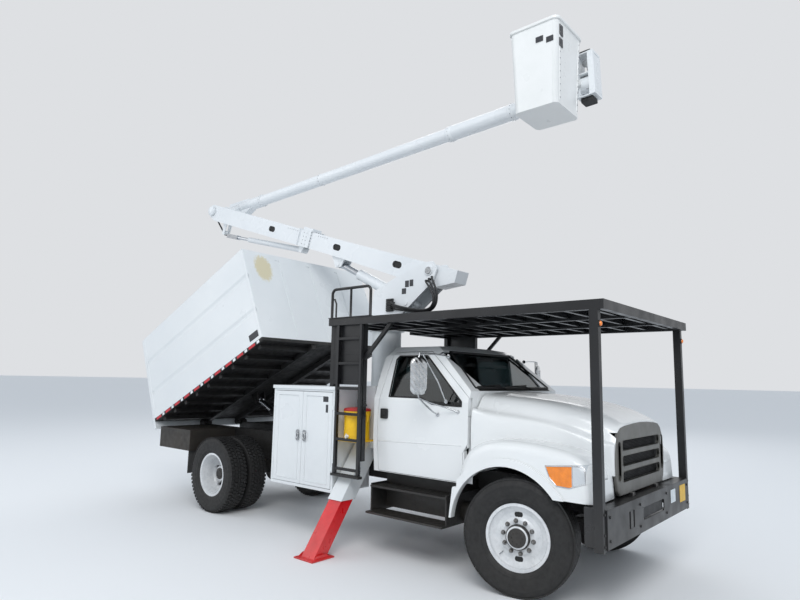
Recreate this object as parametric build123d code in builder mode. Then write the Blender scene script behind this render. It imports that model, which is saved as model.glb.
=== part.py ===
from build123d import *
from math import asin, atan2, cos, hypot, radians, sin
import os

os.makedirs("parts", exist_ok=True)

# Forestry cherry picker truck: a medium duty cab and chassis with a raised chip body,
# a two section boom with a bucket behind the cab, A-frame outriggers and a cab guard.
# Millimetres. +X is the way the truck drives, +Y is its left side, +Z is up.
# Z = 0 is the ground. Every x below that is written FRONT_AXLE + n or - n is measured
# from the front axle, and the origin is the middle of the whole vehicle on the ground.

PLAY = 0.3                      # running clearance round pins, shafts and slides
SEAM = 6.0                      # gap round a door or a lid
SIDES = {"right": -1, "left": 1}

# Lift geometry, as angles from the horizontal at rest
BOOM_ANGLE = 18.1               # lower boom rises to the rear
UPPER_ANGLE = 2.2               # upper boom rises to the front
LOWER_LENGTH = 5502.0           # pivot to elbow
ELBOW_NOSE = 125.0              # radius of the elbow end of the lower boom
SHOULDER_BACK = 1750.0          # pivot behind the front axle
SHOULDER_Z = 3320.0
ELBOW_BACK = SHOULDER_BACK + LOWER_LENGTH * cos(radians(BOOM_ANGLE))
ELBOW_Z = SHOULDER_Z + LOWER_LENGTH * sin(radians(BOOM_ANGLE))

# Chip body, drawn level and then tipped about its hinge
BED_TIP = 24.4
BED_HINGE_BACK = 6410.0         # hinge behind the front axle
BED_REAR, BED_FRONT = -60.0, 2955.0      # from the hinge, along the floor
BED_UNDER = 80.0                         # floor underside above the hinge
BED_FLOOR = 50.0
BED_HEIGHT = 1400.0
BED_TOP = BED_UNDER + BED_FLOOR + BED_HEIGHT
BED_WALL = 38.0
GATE_THICK = 50.0
GATE_GAP = 2.0
GATE_LIP = 110.0
GATE_RISE = 20.0                # tailgate above the walls' top

# The origin is midway between the cab guard's front and the tailgate's upper corner
BUMPER_REACH = 902.0            # bumper face ahead of the front axle
GUARD_REACH = 940.0             # cab guard's front edge ahead of the front axle
GATE_BACK = -BED_REAR + GATE_GAP + GATE_THICK
REAR_REACH = (BED_HINGE_BACK + GATE_BACK * cos(radians(BED_TIP))
              + (BED_TOP + GATE_RISE) * sin(radians(BED_TIP)))
FRONT_AXLE = (REAR_REACH - GUARD_REACH) / 2

# Chassis
WHEELBASE = 4836.0
REAR_AXLE = FRONT_AXLE - WHEELBASE
AXLE_Z = 522.0
RAIL_OUT = 432.0                # outer face of a frame rail
RAIL_WEB = 10.0
RAIL_FLANGE = 85.0
RAIL_BOTTOM, RAIL_TOP = 700.0, 960.0
RAIL_FRONT, RAIL_REAR = FRONT_AXLE + 700.0, FRONT_AXLE - 6380.0
SUBFRAME_TOP = 1112.0
SUBFRAME_WIDTH = 80.0

# Wheels and tyres
TYRE_RADIUS = AXLE_Z
TYRE_WIDTH = 279.0
BEAD_RADIUS = 286.0
BARREL_RADIUS = 266.0
FLANGE_RADIUS = 300.0
BARREL_HALF = 112.0
FRONT_TRACK = 1035.0            # centre of a front tyre from the middle
DUAL_OUTER, DUAL_INNER = 1075.0, 745.0
DUAL_MID = (DUAL_OUTER + DUAL_INNER) / 2
HUB_RADIUS = 110.0
SPINDLE_RADIUS = 42.0
KINGPIN_Y = 890.0
STEER_ANGLE = 12.0              # as it is parked, to the left

# Cab
CAB_REAR, CAB_FRONT = FRONT_AXLE - 1870.0, FRONT_AXLE - 565.0
CAB_BOTTOM = 890.0
CAB_FLOOR = 1040.0
CAB_WALL = 50.0
DOOR_FRONT = FRONT_AXLE - 577.0
DOOR_HINGE_X, DOOR_HINGE_Y = FRONT_AXLE - 590.0, 985.0
DOOR_TOP = 2236.0
GLASS = 6.0

# Hood and fenders
HOOD_REAR = FRONT_AXLE - 552.0
HOOD_WALL = 35.0
HOOD_NOSE = FRONT_AXLE + 790.0
ARCH_X, ARCH_Z, ARCH_RADIUS = FRONT_AXLE - 60.0, 525.0, 610.0
FENDER_IN, FENDER_OUT, FLARE_OUT = 700.0, 1140.0, 1168.0
GRILLE_HALF = 640.0
GRILLE_BOTTOM, GRILLE_TOP = 905.0, 1475.0

# Hinge that the hood tilts forward about, on the bumper
HOOD_HINGE_X, HOOD_HINGE_Z = FRONT_AXLE + 815.0, 905.0
HOOD_PIN = 8.0

# Bumper and cab guard
BODY_HALF = 1219.0              # half of the width over the bodies
BUMPER_HALF = BODY_HALF - 40
BUMPER_BOTTOM, BUMPER_TOP = 577.0, 893.0
POST_WIDTH = 60.0
GUARD_HALF = BUMPER_HALF + POST_WIDTH
GUARD_REAR, GUARD_FRONT = FRONT_AXLE - 2436.0, FRONT_AXLE + GUARD_REACH - 50.0
GUARD_BOTTOM, GUARD_TOP = 2545.0, 2632.0

# Tool boxes, outriggers and pedestal
BOX_REAR, BOX_FRONT = FRONT_AXLE - 3440.0, FRONT_AXLE - 2301.0
BOX_BOTTOM, BOX_TOP = 605.0, 1822.0
BOX_DEPTH = 620.0
BOX_WALL = 25.0
BOX_DOOR = 30.0
TURRET_X = FRONT_AXLE - 2593.0
PEDESTAL_RADIUS = 200.0
RACE_RADIUS = 245.0
RACE_BOTTOM, RACE_TOP = 2570.0, 2640.0
CROSS_REAR, CROSS_FRONT = FRONT_AXLE - 2290.0, FRONT_AXLE - 1990.0
CROSS_TOP = 1835.0
CROSS_HALF = 860.0
LEG_X = FRONT_AXLE - 2164.0
LEG_FOOT_Y, LEG_ANGLE = 1582.0, 55.0
LEG_WIDTH, LEG_DEPTH = 194.0, 154.0
HOUSING_WALL = 12.0
HOUSING_END = 1480.0             # along the leg's run
HOUSING_BOTTOM = 560.0

# Planes of the bodies that stand at an angle
BED_HINGE_X, BED_HINGE_Z = FRONT_AXLE - BED_HINGE_BACK, 1120.0
BED_PLANE = Plane(
    origin=(BED_HINGE_X, 0, BED_HINGE_Z),
    x_dir=(cos(radians(BED_TIP)), 0, sin(radians(BED_TIP))),
    z_dir=(-sin(radians(BED_TIP)), 0, cos(radians(BED_TIP))),
)
LOWER_PLANE = Plane(
    origin=(FRONT_AXLE - SHOULDER_BACK, 0, SHOULDER_Z),
    x_dir=(-cos(radians(BOOM_ANGLE)), 0, sin(radians(BOOM_ANGLE))),
    z_dir=(sin(radians(BOOM_ANGLE)), 0, cos(radians(BOOM_ANGLE))),
)
UPPER_PLANE = Plane(
    origin=(FRONT_AXLE - ELBOW_BACK, 0, ELBOW_Z),
    x_dir=(cos(radians(UPPER_ANGLE)), 0, sin(radians(UPPER_ANGLE))),
    z_dir=(-sin(radians(UPPER_ANGLE)), 0, cos(radians(UPPER_ANGLE))),
)

# Booms
LOWER_HALF = 125.0
SHOULDER_PIN, ELBOW_PIN = 60.0, 70.0
ELBOW_SLOT = 62.0               # half width of the slot for the elbow drum
ELBOW_DRUM, ELBOW_DRUM_HALF = 112.0, 50.0
UPPER_Y = 375.0                 # the upper boom lies beside the lower one
UPPER_RISE = 139.0              # tube axis above the elbow pivot
UPPER_RADIUS = 95.0
UPPER_REACH = 7270.0
BUCKET_PIVOT = 7075.0           # along the upper boom from the elbow
BUCKET_LENGTH, BUCKET_WIDTH, BUCKET_HEIGHT = 600.0, 650.0, 1000.0
BUCKET_GAP = 40.0
BUCKET_PIN = 45.0
BUCKET_DROP = 467.0             # bucket floor below its pivot
BUCKET_WALL = 10.0


def block(x, y, z):
    """A box, from a (low, high) pair for each axis."""
    with BuildPart() as piece:
        with Locations(((x[0] + x[1]) / 2, (y[0] + y[1]) / 2, (z[0] + z[1]) / 2)):
            Box(x[1] - x[0], y[1] - y[0], z[1] - z[0])
    return piece.part


def side_prism(points, y):
    """A side view outline of (x, z) points, as wide as the (low, high) pair y."""
    with BuildPart() as piece:
        with BuildSketch(Plane.XZ.offset(-y[1])):
            with BuildLine():
                Polyline(*points, close=True)
            make_face()
        extrude(amount=y[1] - y[0])
    return piece.part


def front_prism(points, x):
    """A front view outline of (y, z) points, as long as the (low, high) pair x."""
    with BuildPart() as piece:
        with BuildSketch(Plane.YZ.offset(x[0])):
            with BuildLine():
                Polyline(*points, close=True)
            make_face()
        extrude(amount=x[1] - x[0])
    return piece.part


def rod(start, end, radius):
    """A round bar between two points."""
    run = Vector(*end) - Vector(*start)
    with BuildPart() as piece:
        with BuildSketch(Plane(origin=start, z_dir=run)):
            Circle(radius)
        extrude(amount=run.length)
    return piece.part


def cross_pin(x, z, y, radius):
    """A round bar across the truck, over the (low, high) pair y."""
    return rod((x, y[0], z), (x, y[1], z), radius)


def bar(start, end, width, height):
    """A square bar between two points of one side view, its width across the truck."""
    run = Vector(*end) - Vector(*start)
    with BuildPart() as piece:
        with BuildSketch(Plane(origin=start, x_dir=(0, 1, 0), z_dir=run)):
            Rectangle(width, height)
        extrude(amount=run.length)
    return piece.part


def bent_tube(points, radius, bend):
    """A round tube along straight runs joined by bends of one radius."""
    with BuildPart() as piece:
        with BuildLine() as route:
            FilletPolyline(*points, radius=bend)
        with BuildSketch(Plane(origin=route.line @ 0, z_dir=route.line % 0)):
            Circle(radius)
        sweep()
    return piece.part


def other_side(part):
    """The same piece on the other side of the truck."""
    return mirror(part, about=Plane.XZ)


def on_plane(part, plane):
    """A piece drawn in a body's own level axes, put where that body stands."""
    return part.moved(plane.location)


# Frame rails

def channel(side):
    """One C-section rail with its web outside."""
    web, lip = side * RAIL_OUT, side * (RAIL_OUT - RAIL_FLANGE)
    face = side * (RAIL_OUT - RAIL_WEB)
    low, high = RAIL_BOTTOM + RAIL_WEB, RAIL_TOP - RAIL_WEB
    return front_prism(
        [(web, RAIL_BOTTOM), (web, RAIL_TOP), (lip, RAIL_TOP), (lip, high),
         (face, high), (face, low), (lip, low), (lip, RAIL_BOTTOM)],
        (RAIL_REAR, RAIL_FRONT),
    )


# Cross members between the rails: (x from the front axle, half length, bottom, top)
CROSS_MEMBERS = [
    (640.0, 40.0, 760.0, 880.0),
    (-1400.0, 50.0, 870.0, 950.0),
    (-2600.0, 60.0, 760.0, 900.0),
    (-4110.0, 60.0, 740.0, 850.0),
    (-5500.0, 50.0, 760.0, 900.0),
    (-6330.0, 40.0, 740.0, 920.0),
]
HOIST_BASE_X, HOIST_BASE_Z = FRONT_AXLE - 4110.0, 920.0
HOIST_PIN = 30.0
HOIST_HALF = 60.0

# Hitch plate that hangs from the last cross member, with a pintle's four bolt holes
HITCH_THICK, HITCH_Z = 20.0, 650.0
HITCH_SPACING = (85.7, 44.5)
HITCH_HOLE = 6.75

# Subframe with the ears of the chip body's hinge
HINGE_PIN = 25.0
HINGE_EAR = 55.0

with BuildPart() as chassis_frame:
    for side in SIDES.values():
        add(channel(side))
    for x, half, low, high in CROSS_MEMBERS:
        web = RAIL_OUT - RAIL_WEB
        add(block((FRONT_AXLE + x - half, FRONT_AXLE + x + half), (-web, web), (low, high)))
    for side in SIDES.values():
        ear = side_prism(
            [(HOIST_BASE_X - 55, 845), (HOIST_BASE_X + 55, 845), (HOIST_BASE_X + 45, 975),
             (HOIST_BASE_X - 45, 975)],
            sorted((side * (HOIST_HALF + 5), side * (HOIST_HALF + 25))),
        )
        add(ear)
    add(cross_pin(HOIST_BASE_X, HOIST_BASE_Z, (-85, 85), HOIST_PIN))
    hitch_x = FRONT_AXLE + CROSS_MEMBERS[-1][0] - CROSS_MEMBERS[-1][1]
    add(block((hitch_x, hitch_x + HITCH_THICK), (-200, 200), (540, CROSS_MEMBERS[-1][2] + 5)))
    with BuildSketch(Plane.YZ.offset(hitch_x - 5)):
        with Locations((0, HITCH_Z)):
            with GridLocations(*HITCH_SPACING, 2, 2):
                Circle(HITCH_HOLE)
    extrude(amount=HITCH_THICK + 10, mode=Mode.SUBTRACT)
    for side in SIDES.values():
        y = sorted((side * (RAIL_OUT - SUBFRAME_WIDTH), side * RAIL_OUT))
        add(block((BED_HINGE_X - 20, FRONT_AXLE - 2000), y, (RAIL_TOP, SUBFRAME_TOP)))
        add(cross_pin(BED_HINGE_X, BED_HINGE_Z, y, HINGE_EAR))
        add(side_prism(
            [(BED_HINGE_X - 20, RAIL_TOP), (BED_HINGE_X + 200, RAIL_TOP),
             (BED_HINGE_X + 60, BED_HINGE_Z + 40), (BED_HINGE_X - 20, BED_HINGE_Z + 40)], y))
        add(cross_pin(BED_HINGE_X, BED_HINGE_Z, sorted((side * 260, side * RAIL_OUT)), HINGE_PIN))
chassis_frame.part.label = "chassis_frame"
export_step(chassis_frame.part, "parts/chassis_frame.step")

# Engine with gearbox, and the radiator behind the grille
with BuildPart() as engine:
    add(side_prism(
        [(FRONT_AXLE - 450, 700), (FRONT_AXLE - 100, 640), (FRONT_AXLE + 450, 640),
         (FRONT_AXLE + 500, 720), (FRONT_AXLE + 500, 1330), (FRONT_AXLE + 350, 1420),
         (FRONT_AXLE - 450, 1420)], (-290, 290)))
    with BuildSketch(Plane.YZ.offset(FRONT_AXLE - 450)):
        with Locations((0, 790)):
            RectangleRounded(420, 330, 80)
    with BuildSketch(Plane.YZ.offset(FRONT_AXLE - 1150)):
        with Locations((0, 800)):
            RectangleRounded(240, 230, 60)
    loft()
    for side in SIDES.values():
        add(block((FRONT_AXLE + 100, FRONT_AXLE + 190),
                  sorted((side * 280, side * (RAIL_OUT - RAIL_WEB))), (800, 850)))
    add(block((FRONT_AXLE + 600, FRONT_AXLE + 650), (-340, 340), (880, 1440)))
engine.part.label = "engine"
export_step(engine.part, "parts/engine.step")

# Front axle: dropped beam, kingpins and two leaf springs
SPRING_Y = 385.0
with BuildPart() as front_axle:
    add(front_prism(
        [(-835, 580), (-835, 470), (-560, 430), (560, 430), (835, 470), (835, 580),
         (560, 520), (-560, 520)], (FRONT_AXLE - 50, FRONT_AXLE + 50)))
    for side in SIDES.values():
        add(rod((FRONT_AXLE, side * KINGPIN_Y, 462), (FRONT_AXLE, side * KINGPIN_Y, 582), 56))
        add(rod((FRONT_AXLE, side * KINGPIN_Y, 412), (FRONT_AXLE, side * KINGPIN_Y, 632), 24))
        y = sorted((side * (SPRING_Y - 38), side * (SPRING_Y + 38)))
        add(block((FRONT_AXLE - 90, FRONT_AXLE + 90), y, (515, 570)))
        add(side_prism(
            [(FRONT_AXLE - 680, 650), (FRONT_AXLE - 400, 590), (FRONT_AXLE, 565),
             (FRONT_AXLE + 400, 590), (FRONT_AXLE + 640, 650), (FRONT_AXLE + 640, 700),
             (FRONT_AXLE + 560, 700), (FRONT_AXLE + 560, 655), (FRONT_AXLE + 300, 620),
             (FRONT_AXLE, 610), (FRONT_AXLE - 300, 620), (FRONT_AXLE - 600, 660),
             (FRONT_AXLE - 600, 700), (FRONT_AXLE - 680, 700)], y))
front_axle.part.label = "front_axle"
export_step(front_axle.part, "parts/front_axle.step")

# Rear axle: housing, differential, springs and drive shaft
with BuildPart() as rear_axle:
    add(cross_pin(REAR_AXLE, AXLE_Z, (-DUAL_MID + 115, DUAL_MID - 115), 72))
    add(cross_pin(REAR_AXLE, AXLE_Z, (-DUAL_MID - 40, DUAL_MID + 40), SPINDLE_RADIUS))
    with BuildSketch(Plane.XZ):
        with Locations((REAR_AXLE, AXLE_Z)):
            Circle(190)
    extrude(amount=110, both=True)
    add(rod((REAR_AXLE + 120, 0, AXLE_Z + 20), (REAR_AXLE + 330, 0, AXLE_Z + 50), 80))
    add(rod((REAR_AXLE + 320, 0, AXLE_Z + 50), (FRONT_AXLE - 1180, 0, 790), 45))
    for side in SIDES.values():
        y = sorted((side * (SPRING_Y - 38), side * (SPRING_Y + 38)))
        add(side_prism(
            [(REAR_AXLE - 720, 655), (REAR_AXLE - 300, 600), (REAR_AXLE, 580),
             (REAR_AXLE + 300, 600), (REAR_AXLE + 720, 655), (REAR_AXLE + 720, 700),
             (REAR_AXLE + 640, 700), (REAR_AXLE + 300, 690), (REAR_AXLE - 300, 690),
             (REAR_AXLE - 640, 700), (REAR_AXLE - 720, 700)], y))
rear_axle.part.label = "rear_axle"
export_step(rear_axle.part, "parts/rear_axle.step")


# Wheels. The profile of a ring is (distance out from the wheel's middle, radius).

def turned(profile, y, x=REAR_AXLE, side=-1):
    """A solid of revolution on a wheel's axis, from (out, radius) points."""
    with BuildPart() as piece:
        with BuildSketch(Plane(origin=(x, 0, AXLE_Z), x_dir=(0, side, 0), z_dir=(1, 0, 0))):
            with BuildLine():
                Polyline(*[(y + out, radius) for out, radius in profile], close=True)
            make_face()
        revolve(axis=Axis((x, 0, AXLE_Z), (0, 1, 0)))
    return piece.part


HALF = TYRE_WIDTH / 2
TYRE_PROFILE = [
    (-BARREL_HALF + 15, BEAD_RADIUS), (-BARREL_HALF + 15, FLANGE_RADIUS + 1),
    (-BARREL_HALF - 8, FLANGE_RADIUS + 6),
    (-HALF, 400), (-HALF + 6, 470), (-HALF + 28, TYRE_RADIUS - 8), (-HALF + 50, TYRE_RADIUS),
    (HALF - 50, TYRE_RADIUS), (HALF - 28, TYRE_RADIUS - 8), (HALF - 6, 470), (HALF, 400),
    (BARREL_HALF + 8, FLANGE_RADIUS + 6), (BARREL_HALF - 15, FLANGE_RADIUS + 1),
    (BARREL_HALF - 15, BEAD_RADIUS),
]


def barrel(disc):
    """The profile of a rim with its disc: disc lists (out, radius) points, hub first."""
    seat = BEAD_RADIUS - 0.2
    return [
        (-BARREL_HALF, FLANGE_RADIUS), (-BARREL_HALF + 12, FLANGE_RADIUS),
        (-BARREL_HALF + 13, seat), (BARREL_HALF - 13, seat),
        (BARREL_HALF - 12, FLANGE_RADIUS), (BARREL_HALF, FLANGE_RADIUS),
        (BARREL_HALF, BARREL_RADIUS + 8),
    ] + disc + [(-BARREL_HALF, BARREL_RADIUS + 8)]


FRONT_DISC = [
    (84, BARREL_RADIUS), (62, 215), (62, 175), (78, 150), (78, HUB_RADIUS),
    (118, HUB_RADIUS - 6), (135, 70), (135, 0), (126, 0), (126, SPINDLE_RADIUS + PLAY),
    (-20, SPINDLE_RADIUS + PLAY), (-20, 70), (62, 90), (64, 150), (46, 175), (46, 220),
    (70, BARREL_RADIUS), (60, BARREL_RADIUS),
]
OUTER_DISC = [
    (90, BARREL_RADIUS), (-60, 240), (-120, 205), (-140, 165), (-140, HUB_RADIUS),
    (-30, HUB_RADIUS - 6), (-15, 60), (-15, 0), (-DUAL_OUTER + DUAL_MID + 45, 0),
    (-DUAL_OUTER + DUAL_MID + 45, SPINDLE_RADIUS + PLAY),
    (-DUAL_OUTER + DUAL_MID, SPINDLE_RADIUS + PLAY), (-DUAL_OUTER + DUAL_MID, 205),
    (-110, 235), (-80, BARREL_RADIUS),
]
INNER_DISC = [
    (80, BARREL_RADIUS), (110, 235), (DUAL_MID - DUAL_INNER, 205),
    (DUAL_MID - DUAL_INNER, SPINDLE_RADIUS + PLAY), (60, SPINDLE_RADIUS + PLAY), (60, 140),
    (140, 165), (120, 205), (60, 240), (-90, BARREL_RADIUS),
]


def holed(part, count, circle, radius, x, y):
    """A wheel with round hand holes cut through its disc."""
    with BuildPart() as piece:
        add(part)
        with BuildSketch(Plane(origin=(x, -y, AXLE_Z), x_dir=(1, 0, 0), z_dir=(0, -1, 0))):
            with PolarLocations(circle, count, start_angle=90):
                Circle(radius)
        extrude(amount=260, both=True, mode=Mode.SUBTRACT)
    return piece.part


KINGPIN_RIGHT = Axis((FRONT_AXLE, -KINGPIN_Y, 0), (0, 0, 1))


def steered(part, side):
    """A front piece made straight ahead on the right, turned as the truck is parked."""
    turned_part = part.rotate(KINGPIN_RIGHT, -side * STEER_ANGLE)
    return turned_part if side < 0 else other_side(turned_part)


def knuckle():
    """The right steering knuckle: a fork round the beam's end, with its spindle."""
    with BuildPart() as piece:
        add(front_prism(
            [(-KINGPIN_Y + 50, 584), (-KINGPIN_Y - 62, 584), (-KINGPIN_Y - 62, 460),
             (-KINGPIN_Y + 50, 460), (-KINGPIN_Y + 50, 428), (-KINGPIN_Y - 90, 428),
             (-KINGPIN_Y - 90, 616), (-KINGPIN_Y + 50, 616)],
            (FRONT_AXLE - 50, FRONT_AXLE + 50)))
        add(cross_pin(FRONT_AXLE, AXLE_Z, (-FRONT_TRACK - 120, -KINGPIN_Y - 88), SPINDLE_RADIUS))
        add(bar((FRONT_AXLE - 30, -KINGPIN_Y + 20, 444), (FRONT_AXLE - 210, -KINGPIN_Y + 20, 444),
                50, 28))
        pin = rod((FRONT_AXLE, -KINGPIN_Y, 400), (FRONT_AXLE, -KINGPIN_Y, 640), 24 + PLAY)
        add(pin, mode=Mode.SUBTRACT)
    return piece.part


front_wheel = holed(turned(barrel(FRONT_DISC), FRONT_TRACK, FRONT_AXLE), 2, 195, 24,
                    FRONT_AXLE, FRONT_TRACK)
front_tyre = turned(TYRE_PROFILE, FRONT_TRACK, FRONT_AXLE)
rear_outer = holed(turned(barrel(OUTER_DISC), DUAL_OUTER), 5, 205, 26, REAR_AXLE, DUAL_OUTER)
rear_inner = holed(turned(barrel(INNER_DISC), DUAL_INNER), 5, 205, 26, REAR_AXLE, DUAL_INNER)
knuckle_right = knuckle()

for name, side in SIDES.items():
    with BuildPart() as knuckle_piece:
        add(steered(knuckle_right, side))
    knuckle_piece.part.label = f"knuckle_{name}"
    export_step(knuckle_piece.part, f"parts/knuckle_{name}.step")

    with BuildPart() as wheel:
        add(steered(front_wheel, side))
    wheel.part.label = f"front_wheel_{name}"
    export_step(wheel.part, f"parts/front_wheel_{name}.step")

    with BuildPart() as tyre:
        add(steered(front_tyre, side))
    tyre.part.label = f"front_tyre_{name}"
    export_step(tyre.part, f"parts/front_tyre_{name}.step")

    with BuildPart() as duals:
        add(rear_outer if side < 0 else other_side(rear_outer))
        add(rear_inner if side < 0 else other_side(rear_inner))
    duals.part.label = f"rear_wheels_{name}"
    export_step(duals.part, f"parts/rear_wheels_{name}.step")

    with BuildPart() as dual_tyres:
        for y in (DUAL_OUTER, DUAL_INNER):
            add(turned(TYRE_PROFILE, y, REAR_AXLE, side))
    dual_tyres.part.label = f"rear_tyres_{name}"
    export_step(dual_tyres.part, f"parts/rear_tyres_{name}.step")

# Front bumper: a channel with a tow opening and two slots
with BuildPart() as front_bumper:
    add(block((BUMPER_REACH + FRONT_AXLE - 200, BUMPER_REACH + FRONT_AXLE),
              (-BUMPER_HALF, BUMPER_HALF), (BUMPER_BOTTOM, BUMPER_TOP)))
    add(block((BUMPER_REACH + FRONT_AXLE - 201, BUMPER_REACH + FRONT_AXLE - 12),
              (-BUMPER_HALF + 12, BUMPER_HALF - 12), (BUMPER_BOTTOM + 12, BUMPER_TOP - 12)),
        mode=Mode.SUBTRACT)
    with BuildSketch(Plane.YZ.offset(FRONT_AXLE + BUMPER_REACH - 30)):
        with Locations((0, 735)):
            RectangleRounded(620, 110, 30)
        with Locations((-560, 735), (-660, 735)):
            RectangleRounded(34, 150, 15)
    extrude(amount=60, mode=Mode.SUBTRACT)
    for side in SIDES.values():
        y = sorted((side * (RAIL_OUT - 85), side * RAIL_OUT))
        add(block((RAIL_FRONT, BUMPER_REACH + FRONT_AXLE - 12), y, (740, BUMPER_TOP - 12)))
        add(block((HOOD_HINGE_X - 55, HOOD_HINGE_X + 25), sorted((side * 320, side * 360)),
                  (BUMPER_TOP - 12, BUMPER_TOP + 1)), mode=Mode.SUBTRACT)
        for inner in (300, 360):
            add(block((HOOD_HINGE_X - 16, HOOD_HINGE_X + 16), sorted((side * inner, side * (inner + 20))),
                      (BUMPER_TOP - 5, HOOD_HINGE_Z + 16)))
        add(cross_pin(HOOD_HINGE_X, HOOD_HINGE_Z, sorted((side * 300, side * 380)), HOOD_PIN))
front_bumper.part.label = "front_bumper"
export_step(front_bumper.part, "parts/front_bumper.step")

# Cab guard: roof sheet, edge beams and ribs, notched round the pedestal
with BuildPart() as guard_roof:
    add(block((GUARD_REAR, GUARD_FRONT + 50), (-GUARD_HALF, GUARD_HALF),
              (GUARD_BOTTOM, GUARD_TOP)))
    add(block((GUARD_REAR + 60, GUARD_FRONT - 10), (-GUARD_HALF + 60, GUARD_HALF - 60),
              (GUARD_BOTTOM - 1, GUARD_TOP - 6)), mode=Mode.SUBTRACT)
    for k in range(13):
        x = GUARD_REAR + 60 + (k + 0.5) * (GUARD_FRONT - 70 - GUARD_REAR) / 13
        add(block((x - 20, x + 20), (-GUARD_HALF + 60, GUARD_HALF - 60),
                  (GUARD_BOTTOM + 20, GUARD_TOP)))
    for y in (-420.0, 420.0):
        add(block((GUARD_REAR, GUARD_FRONT), (y - 25, y + 25), (GUARD_BOTTOM, GUARD_TOP)))
    add(block((GUARD_REAR - 1, TURRET_X + RACE_RADIUS + 60),
              (-RACE_RADIUS - 60, RACE_RADIUS + 60), (GUARD_BOTTOM - 1, GUARD_TOP + 1)),
        mode=Mode.SUBTRACT)
# Posts of the cab guard: front posts, and a braced frame behind the cab on each side
FRAME_POSTS = (FRONT_AXLE - 2406.0, FRONT_AXLE - 1910.0)
DECK_Z = 1112.0
with BuildPart() as cab_guard:
    add(guard_roof.part)
    for side in SIDES.values():
        y = sorted((side * BUMPER_HALF, side * GUARD_HALF))
        add(block((FRONT_AXLE + 808, FRONT_AXLE + 888), y, (560, GUARD_BOTTOM)))
        inner = sorted((side * (GUARD_HALF - 110), side * (GUARD_HALF - 50)))
        for x in FRAME_POSTS:
            low = BOX_TOP if x < BOX_FRONT else 1000
            add(block((x - 30, x + 30), inner, (low, GUARD_BOTTOM + 30)))
        for z in (1850.0, 2200.0):
            add(block((FRAME_POSTS[0] + 25, FRAME_POSTS[1] - 25), inner, (z, z + 50)))
        add(block((FRAME_POSTS[0] + 25, FRAME_POSTS[1] - 25),
                  (side * (GUARD_HALF - 55) - 3, side * (GUARD_HALF - 55) + 3),
                  (1895, GUARD_BOTTOM + 10)))
        mid = side * (GUARD_HALF - 75)
        add(bar((FRAME_POSTS[1] + 20, mid, 2150), (FRAME_POSTS[1] + 430, mid, 2560), 40, 40))
cab_guard.part.label = "cab_guard"
export_step(cab_guard.part, "parts/cab_guard.step")

# Ladder on the right, with the hand rail above the cab guard
LADDER_X = (FRONT_AXLE - 2270.0, FRONT_AXLE - 1897.0)
LADDER_Y = -GUARD_HALF + 20
with BuildPart() as ladder:
    for x in LADDER_X:
        add(block((x - 18, x + 18), (LADDER_Y - 18, LADDER_Y + 18), (843, GUARD_BOTTOM)))
    for z in (880.0, 1210.0, 1500.0, 1790.0, 2080.0, 2370.0):
        add(block((LADDER_X[0], LADDER_X[1]), (LADDER_Y - 15, LADDER_Y + 15), (z, z + 30)))
    rail_x = (FRONT_AXLE - 2404.0, FRONT_AXLE - 1770.0)
    rail_z = (GUARD_TOP + 7, 2985.0)
    add(bent_tube([(rail_x[0], LADDER_Y, rail_z[0]), (rail_x[0], LADDER_Y, rail_z[1]),
                   (rail_x[1], LADDER_Y, rail_z[1]), (rail_x[1], LADDER_Y, rail_z[0])], 17, 60))
    add(rod(((rail_x[0] + rail_x[1]) / 2, LADDER_Y, rail_z[0]),
            ((rail_x[0] + rail_x[1]) / 2, LADDER_Y, rail_z[1]), 14))
    add(block((FRONT_AXLE - 2430, FRONT_AXLE - 1750), (LADDER_Y - 40, LADDER_Y + 40),
              (GUARD_TOP, GUARD_TOP + 8)))
ladder.part.label = "ladder"
export_step(ladder.part, "parts/ladder.step")

# Cab shell: a side outline crossed with a front outline, hollowed and cut for its openings
CAB_SIDE = [
    (-1870, CAB_BOTTOM), (-1872, 1900), (-1850, 2170), (-1770, 2290), (-1480, 2335),
    (-1180, 2318), (-1075, 2262), (-565, 1815), (-565, CAB_BOTTOM),
]
CAB_HALF_FRONT = [(980, CAB_BOTTOM), (1010, 1270), (1000, 1700), (835, 2200), (735, 2300), (0, 2340)]
DOOR_OUTLINE = [
    (-1800, 900), (-1805, 1500), (-1762, 2000), (-1725, DOOR_TOP), (-1185, DOOR_TOP),
    (-1120, 2190), (-577, 1745), (-577, 1290), (-645, 1190), (-645, 900),
]
WINDOW_OUTLINE = [
    (-1655, 1727), (-1668, 2150), (-1630, 2190), (-1230, 2190), (-1190, 2160), (-660, 1705),
    (-660, 1657), (-1038, 1668), (-1202, 1727),
]


def cab_block(inset):
    """The cab as one closed solid, drawn in by inset all round."""
    with BuildPart() as piece:
        with BuildSketch(Plane.XZ.offset(-1100)):
            with BuildLine():
                Polyline(*[(FRONT_AXLE + x, z) for x, z in CAB_SIDE], close=True)
            make_face()
            if inset:
                offset(amount=-inset, kind=Kind.INTERSECTION)
        extrude(amount=2200)
        outline = CAB_HALF_FRONT + [(-y, z) for y, z in reversed(CAB_HALF_FRONT[:-1])]
        with BuildSketch(Plane.YZ.offset(CAB_REAR - 50)):
            with BuildLine():
                Polyline(*outline, close=True)
            make_face()
            if inset:
                offset(amount=-inset, kind=Kind.INTERSECTION)
        extrude(amount=1500, mode=Mode.INTERSECT)
    return piece.part


cab_core = cab_block(CAB_WALL + 8)
# Hinges of a cab door: the foot of each ear on the cab, and its height
DOOR_EARS = (1250.0, 1560.0)
EAR_HEIGHT, EAR_PIN = 60.0, 6.0


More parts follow.
